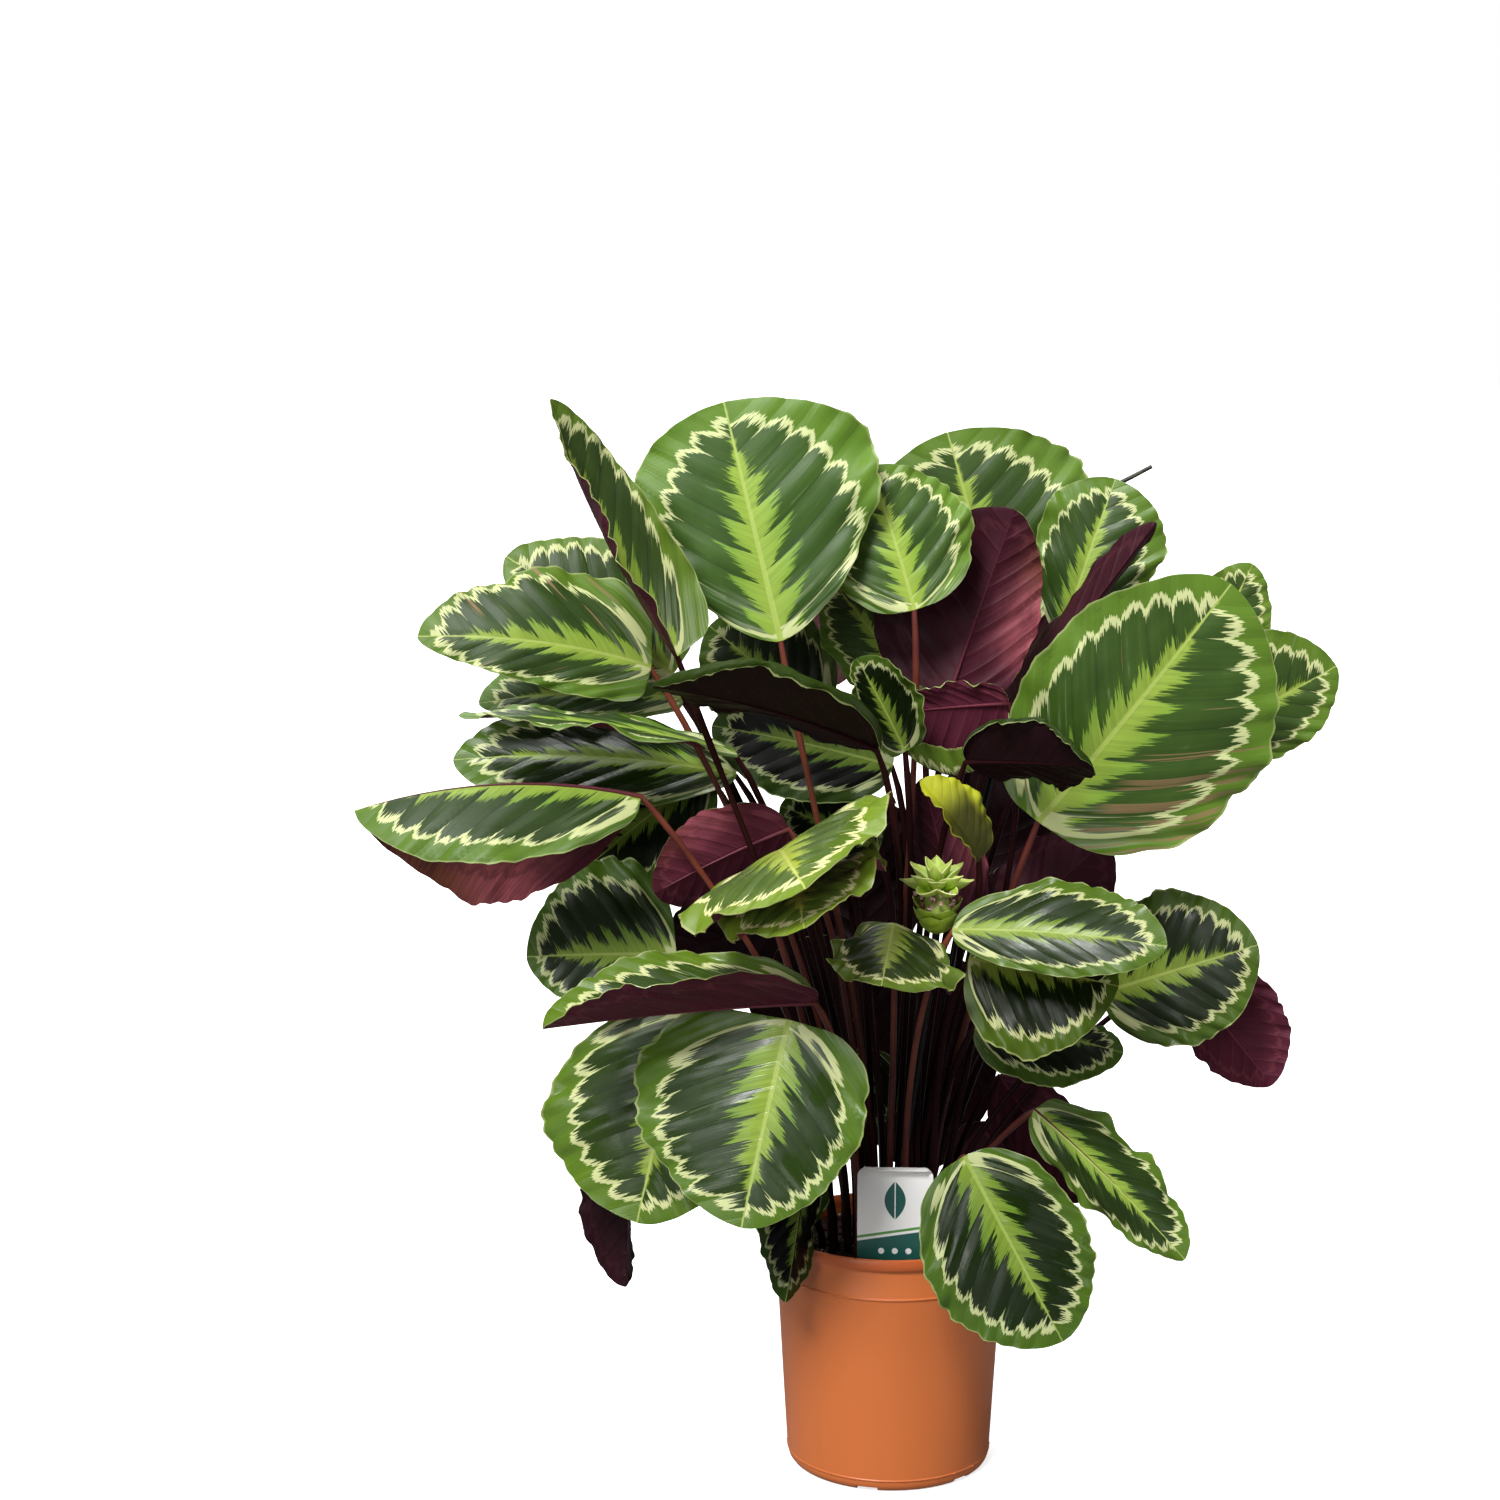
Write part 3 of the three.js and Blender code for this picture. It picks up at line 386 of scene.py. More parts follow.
def crown_feet(tops):
    """Where the stalks leave the soil: on their leaf's side, and nowhere closer than the spacing."""
    feet = []
    for top, foot in tops:
        out = math.hypot(top[0], top[1])
        lean = out / (top[2] - SOIL_TOP)
        reach = CROWN_RADIUS * lean / (lean + CROWN_EASE)
        feet.append(list(foot) if foot else [top[0] / out * reach, top[1] / out * reach])
    for _ in range(FOOT_ROUNDS):
        for i, foot in enumerate(feet):
            for other in feet[i + 1:]:
                x, y = foot[0] - other[0], foot[1] - other[1]
                away = math.hypot(x, y)
                if away < FOOT_SPACING:
                    push = (FOOT_SPACING - away) / 2 / away
                    foot[0] += x * push
                    foot[1] += y * push
                    other[0] -= x * push
                    other[1] -= y * push
    return feet


tops = [(FLOWER_TOP, None), (SPEAR_PATH[0], None)] + [(leaf.base, leaf.foot) for leaf in LEAVES]
FLOWER_FOOT, SPEAR_FOOT, *LEAF_FEET = crown_feet(tops)


def stalk_path(foot, top, onward):
    """From the foot straight up out of the soil, then one bend to the top, where the blade sets off."""
    low = np.array([foot[0], foot[1], SOIL_TOP + STALK_CLEAR])
    arrive = unit((1 - STALK_TURN_IN) * unit(top - low) + STALK_TURN_IN * onward)
    upright = low + np.array([0, 0, STALK_RISE * max(top[2] - low[2], STALK_RISE_FROM)])
    last = top - arrive * STALK_ARRIVE * np.linalg.norm(top - low)
    path = [np.array([foot[0], foot[1], SOIL_TOP - STALK_SUNK])]
    for step in range(STALK_STEPS):
        t = step / STALK_STEPS
        weights = ((1 - t) ** 3, 3 * t * (1 - t) ** 2, 3 * t ** 2 * (1 - t), t ** 3)
        path.append(sum(weight * point for weight, point in zip(weights, (low, upright, last, top))))
    return path


def rod(name, path, radii, material):
    """A round stalk through these points, as a mesh of its own."""
    bpy.ops.curve.primitive_nurbs_path_add(radius=1, location=(0, 0, 0))
    curve = bpy.context.object
    curve.name = name
    curve.data.splines.clear()
    spline = curve.data.splines.new("POLY")
    spline.points.add(len(path) - 1)
    for place, point, radius in zip(spline.points, path, radii):
        place.co = (*(point * MM), 1)
        place.radius = radius
    curve.data.bevel_depth = MM
    curve.data.bevel_resolution = STALK_ROUNDNESS
    curve.data.use_fill_caps = True
    curve.data.materials.append(material)
    bpy.ops.object.convert(target="MESH")
    bpy.ops.object.shade_smooth()
    return bpy.context.object


class Wire:
    """A number in a material that comes along a wire and takes part in sums."""

    def __init__(self, bench, socket):
        self.bench = bench
        self.socket = socket

    def sum(self, operation, *others):
        return self.bench.add("ShaderNodeMath", dict(enumerate((self, *others))), operation=operation)

    def __add__(self, other):
        return self.sum("ADD", other)

    def __sub__(self, other):
        return self.sum("SUBTRACT", other)

    def __mul__(self, other):
        return self.sum("MULTIPLY", other)

    def __truediv__(self, other):
        return self.sum("DIVIDE", other)

    def __pow__(self, other):
        return self.sum("POWER", other)

    def beside(self, output):
        """Another output of the node that this wire comes from."""
        return Wire(self.bench, self.socket.node.outputs[output])

    def step(self, low, high):
        """0 below low and 1 above high, with a soft step between. Low may be the higher."""
        sockets = {"Value": self, "From Min": low, "From Max": high}
        return self.bench.add("ShaderNodeMapRange", sockets, interpolation_type="SMOOTHSTEP")


class Bench:
    """The nodes of one material, with its shader."""

    def __init__(self, name, roughness, specular=0.5):
        self.material = bpy.data.materials.new(name)
        self.material.use_nodes = True
        self.tree = self.material.node_tree
        self.shader = self.tree.nodes["Principled BSDF"]
        self.shader.inputs["Roughness"].default_value = roughness
        self.shader.inputs["Specular IOR Level"].default_value = specular

    def add(self, kind, sockets, output=0, **settings):
        node = self.tree.nodes.new(kind)
        for name, value in settings.items():
            setattr(node, name, value)
        for key, value in sockets.items():
            if isinstance(value, Wire):
                self.tree.links.new(value.socket, node.inputs[key])
            else:
                node.inputs[key].default_value = value
        return Wire(self, node.outputs[output])

    def split(self, vector):
        parts = self.add("ShaderNodeSeparateXYZ", {0: vector})
        return [parts.beside(axis) for axis in "XYZ"]

    def place(self):
        """Where the point lies in the object, in metres."""
        return self.add("ShaderNodeTexCoord", {}, output="Object")

    def attribute(self, name):
        return self.add("ShaderNodeAttribute", {}, output="Color", attribute_name=name)

    def noise(self, x, y, z, detail=2.0):
        place = self.add("ShaderNodeCombineXYZ", {0: x, 1: y, 2: z})
        return self.add("ShaderNodeTexNoise", {"Vector": place, "Scale": 1.0, "Detail": detail})

    def object_noise(self, scale, detail=3.0):
        return self.add("ShaderNodeTexNoise", {"Vector": self.place(), "Scale": scale, "Detail": detail})

    def mix(self, share, first, second):
        sockets = {0: share, 6: first, 7: second}
        return self.add("ShaderNodeMix", sockets, output=2, data_type="RGBA")

    def tint(self, colour, value, hue=0.5, saturation=1.0):
        sockets = {"Color": colour, "Value": value, "Hue": hue, "Saturation": saturation}
        return self.add("ShaderNodeHueSaturation", sockets)

    def paint(self, colour):
        self.tree.links.new(colour.socket, self.shader.inputs["Base Color"])

    def roughen(self, roughness):
        self.tree.links.new(roughness.socket, self.shader.inputs["Roughness"])

    def bump(self, height, depth, strength=1.0):
        bump = self.add("ShaderNodeBump", {"Height": height, "Distance": depth, "Strength": strength})
        self.tree.links.new(bump.socket, self.shader.inputs["Normal"])


def srgb(code):
    """The linear colour of a six-figure colour code."""
    parts = [int(code[i:i + 2], 16) / 255 for i in (1, 3, 5)]
    linear = [part / 12.92 if part <= 0.04045 else ((part + 0.055) / 1.055) ** 2.4 for part in parts]
    return (*linear, 1)


# The pale ring is an oval round this middle, with this reach along and across the leaf. It is scalloped
# between the side veins, and frayed by strokes and tufts of noise that run along them. The feather starts
# and ends at these shares of the leaf's length.
RING_MIDDLE, RING_ALONG, RING_ACROSS = 0.47, 0.465, 0.80
RING_INSIDE, RING_OUTSIDE = (0.93, 0.945), (1.015, 1.002)
RING_SCALLOP, RING_TUFT, RING_STROKE = 0.105, 0.07, 0.13
INSIDE_STROKE, INSIDE_TUFT = 0.26, 0.10
SPIKE_LENGTH, SPIKE_STRENGTH = 0.13, 0.55
FEATHER_START, FEATHER_END, FEATHER_WIDTH = 0.10, 0.86, 1.2
MIDRIB_SHARE = 0.028


def leaf_marks(bench):
    """The markings as wires, from the leaf's own map: out from the midrib to the edge, and base to tip."""
    u, s, _ = bench.split(bench.add("ShaderNodeUVMap", {}, uv_map="leaf map"))
    nature_and_light = bench.attribute("nature_and_light")
    rim = nature_and_light.beside("Alpha")
    tone, yellow, seed = bench.split(nature_and_light)
    painted_glow, gloss, dry = bench.split(bench.attribute("finish"))
    signed = u * 2.0 - 1.0
    x = signed.sum("ABSOLUTE")
    side = signed.sum("GREATER_THAN", 0.0)
    start = s - x * VEIN_SLANT - x * x * VEIN_BEND
    between = (start * VEINS + side * 0.5 + seed).sum("FRACT")
    vein = (between * 2.0 - 1.0).sum("ABSOLUTE")
    place = seed * 17.0 + side * 5.0
    stroke = bench.noise(start * 150.0, x * 3.5, place, 2.0) - 0.5
    tuft = bench.noise(start * 32.0, x * 2.0, place + 9.0, 1.0) - 0.5
    streak = bench.noise(start * 50.0, x * 1.2, place + 21.0, 3.0)
    cloud = bench.noise(s * 4.0, signed * 3.0, place + 35.0, 3.0)
    oval = (((s - RING_MIDDLE) / RING_ALONG) ** 2.0 + (x / RING_ACROSS) ** 2.0).sum("SQRT")
    distance = oval + vein ** 2.5 * RING_SCALLOP + tuft * RING_TUFT
    calm = s.step(0.04, 0.3) * 0.75 + 0.25
    outer = distance + stroke * calm * RING_STROKE
    inner = distance + (stroke * INSIDE_STROKE + tuft * INSIDE_TUFT) * calm
    ring = inner.step(*RING_INSIDE) * outer.step(*RING_OUTSIDE)
    spike = (inner + vein ** 12.0 * SPIKE_LENGTH).step(0.97, 1.0) * outer.step(1.0, 0.98)
    spike = spike * vein.step(0.7, 0.9)
    ring = ring.sum("MAXIMUM", spike * SPIKE_STRENGTH)
    rise = (start + FEATHER_START).sum("MAXIMUM", 0.0) ** 0.7
    fall = (start * -1.0 + FEATHER_END).sum("MAXIMUM", 0.0) ** 1.25
    lobe = between ** 0.8 * between.step(1.0, 0.9)
    plume = rise * fall * (lobe * 0.85 + 0.25) * FEATHER_WIDTH
    feather = (x - (plume + stroke * 0.36 * x.step(0.0, 0.12) + tuft * 0.10)).step(0.015, -0.025)
    midrib = (x + s * 0.018).step(MIDRIB_SHARE, MIDRIB_SHARE - 0.01)
    return SimpleNamespace(
        s=s, x=x, signed=signed, side=side, start=start, place=place, vein=vein, stroke=stroke, streak=streak,
        cloud=cloud, outer=outer, ring=ring, feather=feather, midrib=midrib, rim=rim, tone=tone,
        yellow=yellow, painted_glow=painted_glow, gloss=gloss, dry=dry)


def duller(material, name, shine):
    """A copy of the material with less shine, as painted shade for what stands in the shade of other leaves.
    """
    copy = material.copy()
    copy.name = name
    copy.node_tree.nodes["Principled BSDF"].inputs["Specular IOR Level"].default_value = shine
    return copy


# The upper face: the dark field and the lighter margin, then silvery streaks, partly the leaf's own silver and
# partly a painted sheen, dry streaks, the feather, the ring with the midrib, and the rim. The young leaf is
# plain instead, with painted light on its edge and tip.
TOP_DARK, TOP_DEEP = srgb("#3a571b"), srgb("#223a12")
TOP_MARGIN, TOP_MARGIN_DEEP = srgb("#608426"), srgb("#4a6f1e")
TOP_FEATHER, TOP_FEATHER_TIP = srgb("#90ae42"), srgb("#6e9a32")
TOP_RING, TOP_MIDRIB = srgb("#cad496"), srgb("#a4bc58")
TOP_SILVER_AND_SHEEN, TOP_EDGE, TOP_DRY = srgb("#8f9a80"), srgb("#a3b070"), srgb("#947a54")
TOP_YELLOW, TOP_OLIVE_AND_SHADE = srgb("#a3bd2a"), srgb("#2e340f")
top = Bench("leaf top", 0.3, 0.3)
marks = leaf_marks(top)
s, x, vein, streak, stroke = marks.s, marks.x, marks.vein, marks.streak, marks.stroke
shade = streak * 0.6 + marks.cloud * 1.2 - 0.4
# Painted shade and light: the leaf's brightness darkens or brightens the field most, and the margin, feather
# and ring less, so that a leaf in shade keeps a bright margin and ring.
dark = top.tint(top.mix(shade - vein ** 10.0 * 0.4, TOP_DEEP, TOP_DARK), marks.tone ** 2.0)
margin = top.tint(top.mix(shade, TOP_MARGIN_DEEP, TOP_MARGIN), marks.tone ** 0.8)
colour = top.mix(marks.outer.step(0.97, 1.03), dark, margin)
# Silvery streaks near the base and along the veins: partly the leaf's own silver, partly a painted sheen.
silver_and_sheen = s.step(0.32, 0.04) * streak.step(0.45, 0.6) * 0.5
silver_and_sheen = silver_and_sheen + streak.step(0.60, 0.70) * marks.cloud.step(0.5, 0.62) * x.step(0.15, 0.3) * 0.3
colour = top.mix(silver_and_sheen, colour, top.tint(TOP_SILVER_AND_SHEEN, marks.tone))
dry = top.noise(marks.start * 52.0, x * 0.9, marks.place + 50.0, 1.0)
dry = (dry + marks.dry * marks.side * marks.start.step(0.4, 0.15) * 0.4).step(0.72, 0.75)
dry = dry * x.step(0.2, 0.35) * x.step(0.98, 0.9) * marks.dry.step(0.0, 0.08)
colour = top.mix(dry * 0.75, colour, TOP_DRY)
plume = top.mix(x.step(0.02, 0.35), TOP_FEATHER, TOP_FEATHER_TIP)
plume = top.tint(plume, marks.tone ** 0.6)
colour = top.mix(marks.feather * (streak.step(0.62, 0.42) * 0.2 + 0.8), colour, plume)
pale = top.mix(marks.midrib, TOP_RING, TOP_MIDRIB)
colour = top.mix(marks.ring.sum("MAXIMUM", marks.midrib), colour, top.tint(pale, marks.tone ** 0.45))
colour = top.mix(marks.rim.step(0.975, 0.99) * 0.6, colour, TOP_EDGE)
# Painted light on the young leaf: yellow along its right edge, its tip and its rim, where light falls, and
# dark olive elsewhere, partly its own colour and partly painted shade.
painted_lit_rim = (marks.signed.step(0.55, 0.9) * s.step(0.2, 0.5)).sum("MAXIMUM", s.step(0.5, 0.85) * 0.9)
painted_lit_rim = painted_lit_rim.sum("MAXIMUM", marks.rim.step(0.93, 0.98) * 0.5)
plain = top.mix(painted_lit_rim * 0.9 + shade * 0.1, TOP_OLIVE_AND_SHADE, TOP_YELLOW)
colour = top.mix(marks.yellow.step(0.9, 0.99), colour, plain)
top.paint(top.tint(colour, 1.0, marks.yellow * -0.04 + 0.5))
top.roughen(streak * 0.16 + 0.38 - marks.gloss * (marks.cloud.step(0.4, 0.62) * 0.26 + 0.04))
top.bump(stroke * 0.5 + streak * 0.5 + vein ** 8.0 * -0.6, 0.0006, 0.5)
# Painted shade: leaves darker than this take a copy of the top with less shine.
SHADED_BELOW, SHADED_SHINE = 0.45, 0.1
shaded_top = duller(top.material, "shaded leaf top", SHADED_SHINE)

# The underside: maroon and blotched, with the ring and veins paler. Painted light makes it pink and tan where
# light would come through, on the half that the sign of its setting picks, with the ring palest there, and
# painted shade darkens the other half.
UNDER_MAROON, UNDER_DEEP, UNDER_PALE = srgb("#5a2233"), srgb("#3f1724"), srgb("#84454b")
UNDER_GLOW_PINK, UNDER_GLOW_TAN = srgb("#dc7680"), srgb("#96583e")
under = Bench("leaf underside", 0.5, 0.12)
marks = leaf_marks(under)
vein, streak = marks.vein, marks.streak
colour = under.mix(streak * 1.2 + marks.cloud * 0.8 - 0.5, UNDER_DEEP, UNDER_MAROON)
glow = under.mix(marks.s.step(0.5, 0.8), UNDER_GLOW_PINK, UNDER_GLOW_TAN)
# Painted light: the pink and tan glow on one half of the underside, in patches.
painted_glow = (marks.signed * marks.painted_glow).step(0.0, 1.1) * marks.s.step(0.15, 0.45)
blotch_and_glow_patch = marks.cloud.step(0.3, 0.6) * 0.45 + streak.step(0.4, 0.6) * 0.3 + 0.2
colour = under.mix(painted_glow * blotch_and_glow_patch, colour, glow)
colour = under.mix(marks.ring * (painted_glow * 0.4 + 0.25), colour, UNDER_PALE)
colour = under.mix(vein.step(0.90, 1.0) * 0.2, colour, UNDER_PALE)
# Painted shade: the other half of the underside is darker.
painted_shade_side = (marks.signed * marks.painted_glow).step(0.3, -0.6) * marks.painted_glow.sum("ABSOLUTE").step(0.2, 0.6)
under.paint(under.tint(colour, marks.tone * (painted_shade_side * -0.5 + 1.0)))
under.roughen(streak * 0.2 + 0.42)
under.bump(marks.stroke * 0.5 + streak * 0.4 + vein ** 8.0, 0.0008, 0.6)

# The stalk: red-brown, with painted light and shade: the listed stalks keep that colour as if lit, the others
# are painted nearly black and shine less, and all are painted darker low in the crown and towards the back.
# Where it is a midrib beneath a blade, it has the colour of the underside, with the blade's brightness.
STALK_RED, STALK_BROWN, STALK_DARK = srgb("#84432f"), srgb("#5c2822"), srgb("#1d0a0d")
SHADED_STALK_LIGHT, SHADED_STALK_SHINE = 0.08, 0.05
stalk = Bench("leaf stalk", 0.38, 0.25)
_, depth, height = stalk.split(stalk.place())
colour = stalk.mix(stalk.object_noise(14.0).step(0.35, 0.65), STALK_BROWN, STALK_RED)
# Painted shade: darker low down and towards the back of the crown.
painted_low_shade = (height + depth * -1.6).step(0.70, 0.40)
nature_and_light = stalk.attribute("nature_and_light")
rib_tone_and_painted_light, light, _ = stalk.split(nature_and_light)
# Painted shade: stalks not listed as lit are painted nearly black.
colour = stalk.mix(light, STALK_DARK, colour)
colour = stalk.mix(painted_low_shade * (light * -0.4 + 0.95), colour, STALK_DARK)
rib_colour = stalk.tint(stalk.mix(0.3, UNDER_MAROON, UNDER_PALE), rib_tone_and_painted_light)
stalk.paint(stalk.mix(nature_and_light.beside("Alpha"), colour, rib_colour))
stalk.roughen(stalk.object_noise(300.0) * 0.3 + 0.25)
stalk.bump(stalk.object_noise(420.0), 0.0004, 0.4)

# Painted shade: unlit stalks take a copy of the stalk with less shine.
shaded_stalk = duller(stalk.material, "shaded leaf stalk", SHADED_STALK_SHINE)
LIT_STALKS = (
    "top_centre", "left_drooping", "left_shade", "left_upper", "right_big", "inner_purple_left", "front_left",
    "front_small", "right_low_slim", "left_low_folded", "top_inner", "right_mid", "front_right",
)
LEAF_SEED, FLOWER_SEED = 7, 11
BRIGHTNESS_DRAWN, YELLOW_DRAWN = (0.7, 0.9), (0, 0.3)


def written(piece, name, rows):
    """The rows, one to a point, as a colour attribute of the piece."""
    piece.data.attributes.new(name, "FLOAT_COLOR", "POINT").data.foreach_set("color", np.ravel(rows))


def thickened(sheet, thickness, under_slot=0):
    """The flat sheet as a thin closed wall, with the material of this slot on its lower face."""
    bpy.ops.object.modifier_add(type="SOLIDIFY")
    wall = sheet.modifiers[0]
    wall.thickness = thickness
    wall.offset = 0
    wall.material_offset = under_slot
    bpy.ops.object.modifier_apply(modifier=wall.name)
    bpy.ops.object.shade_smooth_by_angle(angle=SHARP_FOLD)


def blade_of(leaf, tone, yellow, *finish):
    """The blade as a closed sheet, with its map, and its nature and finish with their painted light, written
    on it.
    """
    columns, rows = BLADE_GRID
    bpy.ops.mesh.primitive_grid_add(x_subdivisions=columns, y_subdivisions=rows, size=2)
    blade = bpy.context.object
    flat = np.empty(3 * len(blade.data.vertices))
    blade.data.vertices.foreach_get("co", flat)
    across, even = flat[0::3], np.clip((flat[1::3] + 1) / 2, 0, 1)
    share = even - ROW_EASE * np.sin(2 * np.pi * even)
    points, _ = leaf.surface(share, across)
    blade.data.vertices.foreach_set("co", (points * MM).ravel())
    out, _, _ = leaf.vein_place(share, across)
    corners = np.empty(len(blade.data.loops), int)
    blade.data.loops.foreach_get("vertex_index", corners)
    leaf_map = blade.data.uv_layers[0]
    leaf_map.name = "leaf map"
    spots = np.stack([(1 + np.sign(across) * out) / 2, share], axis=1)[corners]
    leaf_map.data.foreach_set("uv", spots.ravel())
    written(blade, "nature_and_light", [[tone, yellow, leaf.phase, abs(place)] for place in across])
    written(blade, "finish", [[*finish, 0, 0, 0, 0][:4]] * len(across))
    # A dark leaf takes the painted-shade copy of the top, with less shine.
    blade.data.materials.append(shaded_top if tone < SHADED_BELOW else top.material)
    blade.data.materials.append(under.material)
    thickened(blade, BLADE_THICKNESS * MM, 1)
    return blade


def leaf_stalk(leaf, foot, tone):
    """The stalk, thicker where it meets the blade, and the midrib that runs on beneath the blade."""
    path = stalk_path(foot, leaf.base, leaf.along)
    count = len(path)
    radii = [STALK_FOOT_RADIUS + (STALK_TOP_RADIUS - STALK_FOOT_RADIUS) * i / count for i in range(count)]
    for i in range(1, CUSHION_RINGS + 1):
        radii[-i] += CUSHION
    for step in range(RIB_STEPS):
        share = RIB_END * step / (RIB_STEPS - 1)
        radius = STALK_TOP_RADIUS + (RIB_END_RADIUS - STALK_TOP_RADIUS) * (share / RIB_END) ** RIB_TAPER
        point, normal = leaf.surface(np.array([share]), np.array([0.0]))
        path.append(point[0] - normal[0] * (radius - RIB_SUNK))
        radii.append(radius)
    # Painted light and shade: a listed stalk is lit, the others are painted dark and shine less.
    lit = leaf.name in LIT_STALKS
    piece = rod(leaf.name + "_stalk", path, radii, stalk.material if lit else shaded_stalk)
    light = 1 if lit else SHADED_STALK_LIGHT
    spots = np.array([vertex.co for vertex in piece.data.vertices]) / MM
    nearest = np.argmin(np.linalg.norm(spots[:, None] - np.array(path), axis=2), axis=1)
    past_base = np.minimum(np.linalg.norm(spots - leaf.base, axis=1) / RIB_FADE, 1) * (nearest >= count)
    written(piece, "nature_and_light", [[tone, light, 0, is_rib] for is_rib in past_base])


chance = random.Random(LEAF_SEED)
for leaf, foot in zip(LEAVES, LEAF_FEET):
    drawn = (chance.uniform(*BRIGHTNESS_DRAWN), chance.uniform(*YELLOW_DRAWN))
    finish = leaf.finish or drawn
    blade = blade_of(leaf, *finish)
    leaf_stalk(leaf, foot, finish[0])
    blade.select_set(True)
    bpy.context.view_layer.objects.active = blade
    bpy.ops.object.join()
    blade.name = leaf.name + "_leaf"
    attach(blade, "root")
    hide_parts("leaf_" + leaf.name)
    blade.select_set(False)

# The flower head: a short cone of cupped green bracts, the top ones spread like a rosette, with a few dried
# florets between them. The bract is shaped once and copied round the head, whorl by whorl. Each whorl has its
# count, where its bracts start and end as (reach, height), their width and the turn of the first in degrees.
WHORLS = (
    (5, (5, -1), (14, 12), 20, 0), (5, (8, 3), (17, 19), 22, 36), (5, (9, 10), (19, 25), 20, 10),
    (6, (3, 31), (28, 43), 19, 0), (6, (2, 33), (22, 51), 16, 30), (3, (1, 35), (10, 56), 12, 15),
)
HEAD_LEAN = 0.3
BRACT_GRID = (12, 16)
BRACT_THICKNESS, USUAL_BRACT = 0.7, 20
BRACT_FULLNESS, BRACT_WIDEST, BRACT_FOOT = 0.8, 0.8, 0.12
BRACT_CUP, BRACT_BELLY, BRACT_LIP = 0.3, 0.16, 0.1
BRACT_LOOKS_UP = 0.8
CORE_SIDES = 24
HEAD_CORE = ((6, -2), (12, 8), (14, 16), (10, 24), (6, 29), (4, 38))
FLORETS = 34
FLORET_SIZE, FLORET_UNEVEN = (0.8, 3.0), (0.6, 1.3)
FLORET_HEIGHTS, FLORET_REACH, FLORET_STRAY = (18, 33), (12, 18), 12

bract_green = Bench("flower bract", 0.45)
across, along, _ = bract_green.split(bract_green.add("ShaderNodeUVMap", {}, uv_map="leaf map"))
middle = (across * 2.0 - 1.0).sum("ABSOLUTE")
_, _, height = bract_green.split(bract_green.place())
ball = height.step(0.500, 0.490)
thread = bract_green.noise(across * 26.0, along * 1.5, 0.0, 2.0)
BRACT_DEEP, BRACT_MID = srgb("#84a61e"), srgb("#aecb40")
BRACT_PALE, BRACT_EDGE, BRACT_BALL = srgb("#d6e67a"), srgb("#dcdc98"), srgb("#7f9c0a")
colour = bract_green.mix(thread.step(0.35, 0.65), BRACT_DEEP, BRACT_MID)
colour = bract_green.mix(along.step(0.3, 0.95) * 0.55, colour, BRACT_PALE)
colour = bract_green.mix(middle.step(0.8, 1.0) * 0.7, colour, BRACT_EDGE)
bract_green.paint(bract_green.mix(ball * 0.75, colour, BRACT_BALL))
bract_green.roughen(thread * 0.3 + 0.3)
bract_green.bump(thread, 0.0005, 0.6)

bpy.ops.mesh.primitive_grid_add(x_subdivisions=BRACT_GRID[0], y_subdivisions=BRACT_GRID[1], size=2)
bract = bpy.context.object
bract.data.uv_layers[0].name = "leaf map"
for vertex in bract.data.vertices:
    side, share = vertex.co.x, min(max((vertex.co.y + 1) / 2, 0), 1)
    reach = max(math.sin(math.pi * share ** BRACT_WIDEST) ** BRACT_FULLNESS, BRACT_FOOT * (1 - share))
    bow = BRACT_BELLY * math.sin(math.pi * share)
    vertex.co = (side * reach / 2, share, BRACT_CUP * (side * reach) ** 2 - bow - BRACT_LIP * share ** 4)
bract.data.materials.append(bract_green.material)
thickened(bract, BRACT_THICKNESS / USUAL_BRACT)
bract.select_set(False)


def copy_of(piece, place):
    """A copy of the piece with a mesh of its own, moved by this matrix, and left selected."""
    copy = piece.copy()
    copy.data = piece.data.copy()
    copy.data.transform(place)
    bpy.context.collection.objects.link(copy)
    copy.select_set(True)
    return copy


def tumbled(spot, sizes):
    """The matrix that brings a unit shape to this spot, with its sizes and its turn drawn by chance."""
    size = [chance.uniform(*sizes) for _ in range(3)]
    turn = Euler([chance.uniform(0, math.pi) for _ in range(3)]).to_matrix().to_4x4()
    return Matrix.Translation(spot) @ turn @ Matrix.Diagonal((*size, 1))


def joined(first, name):
    """The selected objects as one, under this name."""
    first.select_set(True)
    bpy.context.view_layer.objects.active = first
    bpy.ops.object.join()
    first.name = name
    first.select_set(False)
    return first


def turned(profile, sides):
    """A closed round body that is drawn out ring by ring along these (radius, height) points."""
    radius, height = profile[0]
    bpy.ops.mesh.primitive_circle_add(vertices=sides, radius=radius * MM, fill_type="NGON")
    body = bpy.context.object
    bpy.ops.object.mode_set(mode="EDIT")
    bpy.ops.transform.translate(value=(0, 0, height * MM))
    for (old, low), (new, high) in zip(profile, profile[1:]):
        bpy.ops.mesh.extrude_region_move(TRANSFORM_OT_translate={"value": (0, 0, (high - low) * MM)})
        bpy.ops.transform.resize(value=(new / old, new / old, 1), center_override=(0, 0, 0))
    bpy.ops.mesh.select_all(action="SELECT")
    bpy.ops.mesh.normals_make_consistent(inside=False)
    bpy.ops.object.mode_set(mode="OBJECT")
    return body


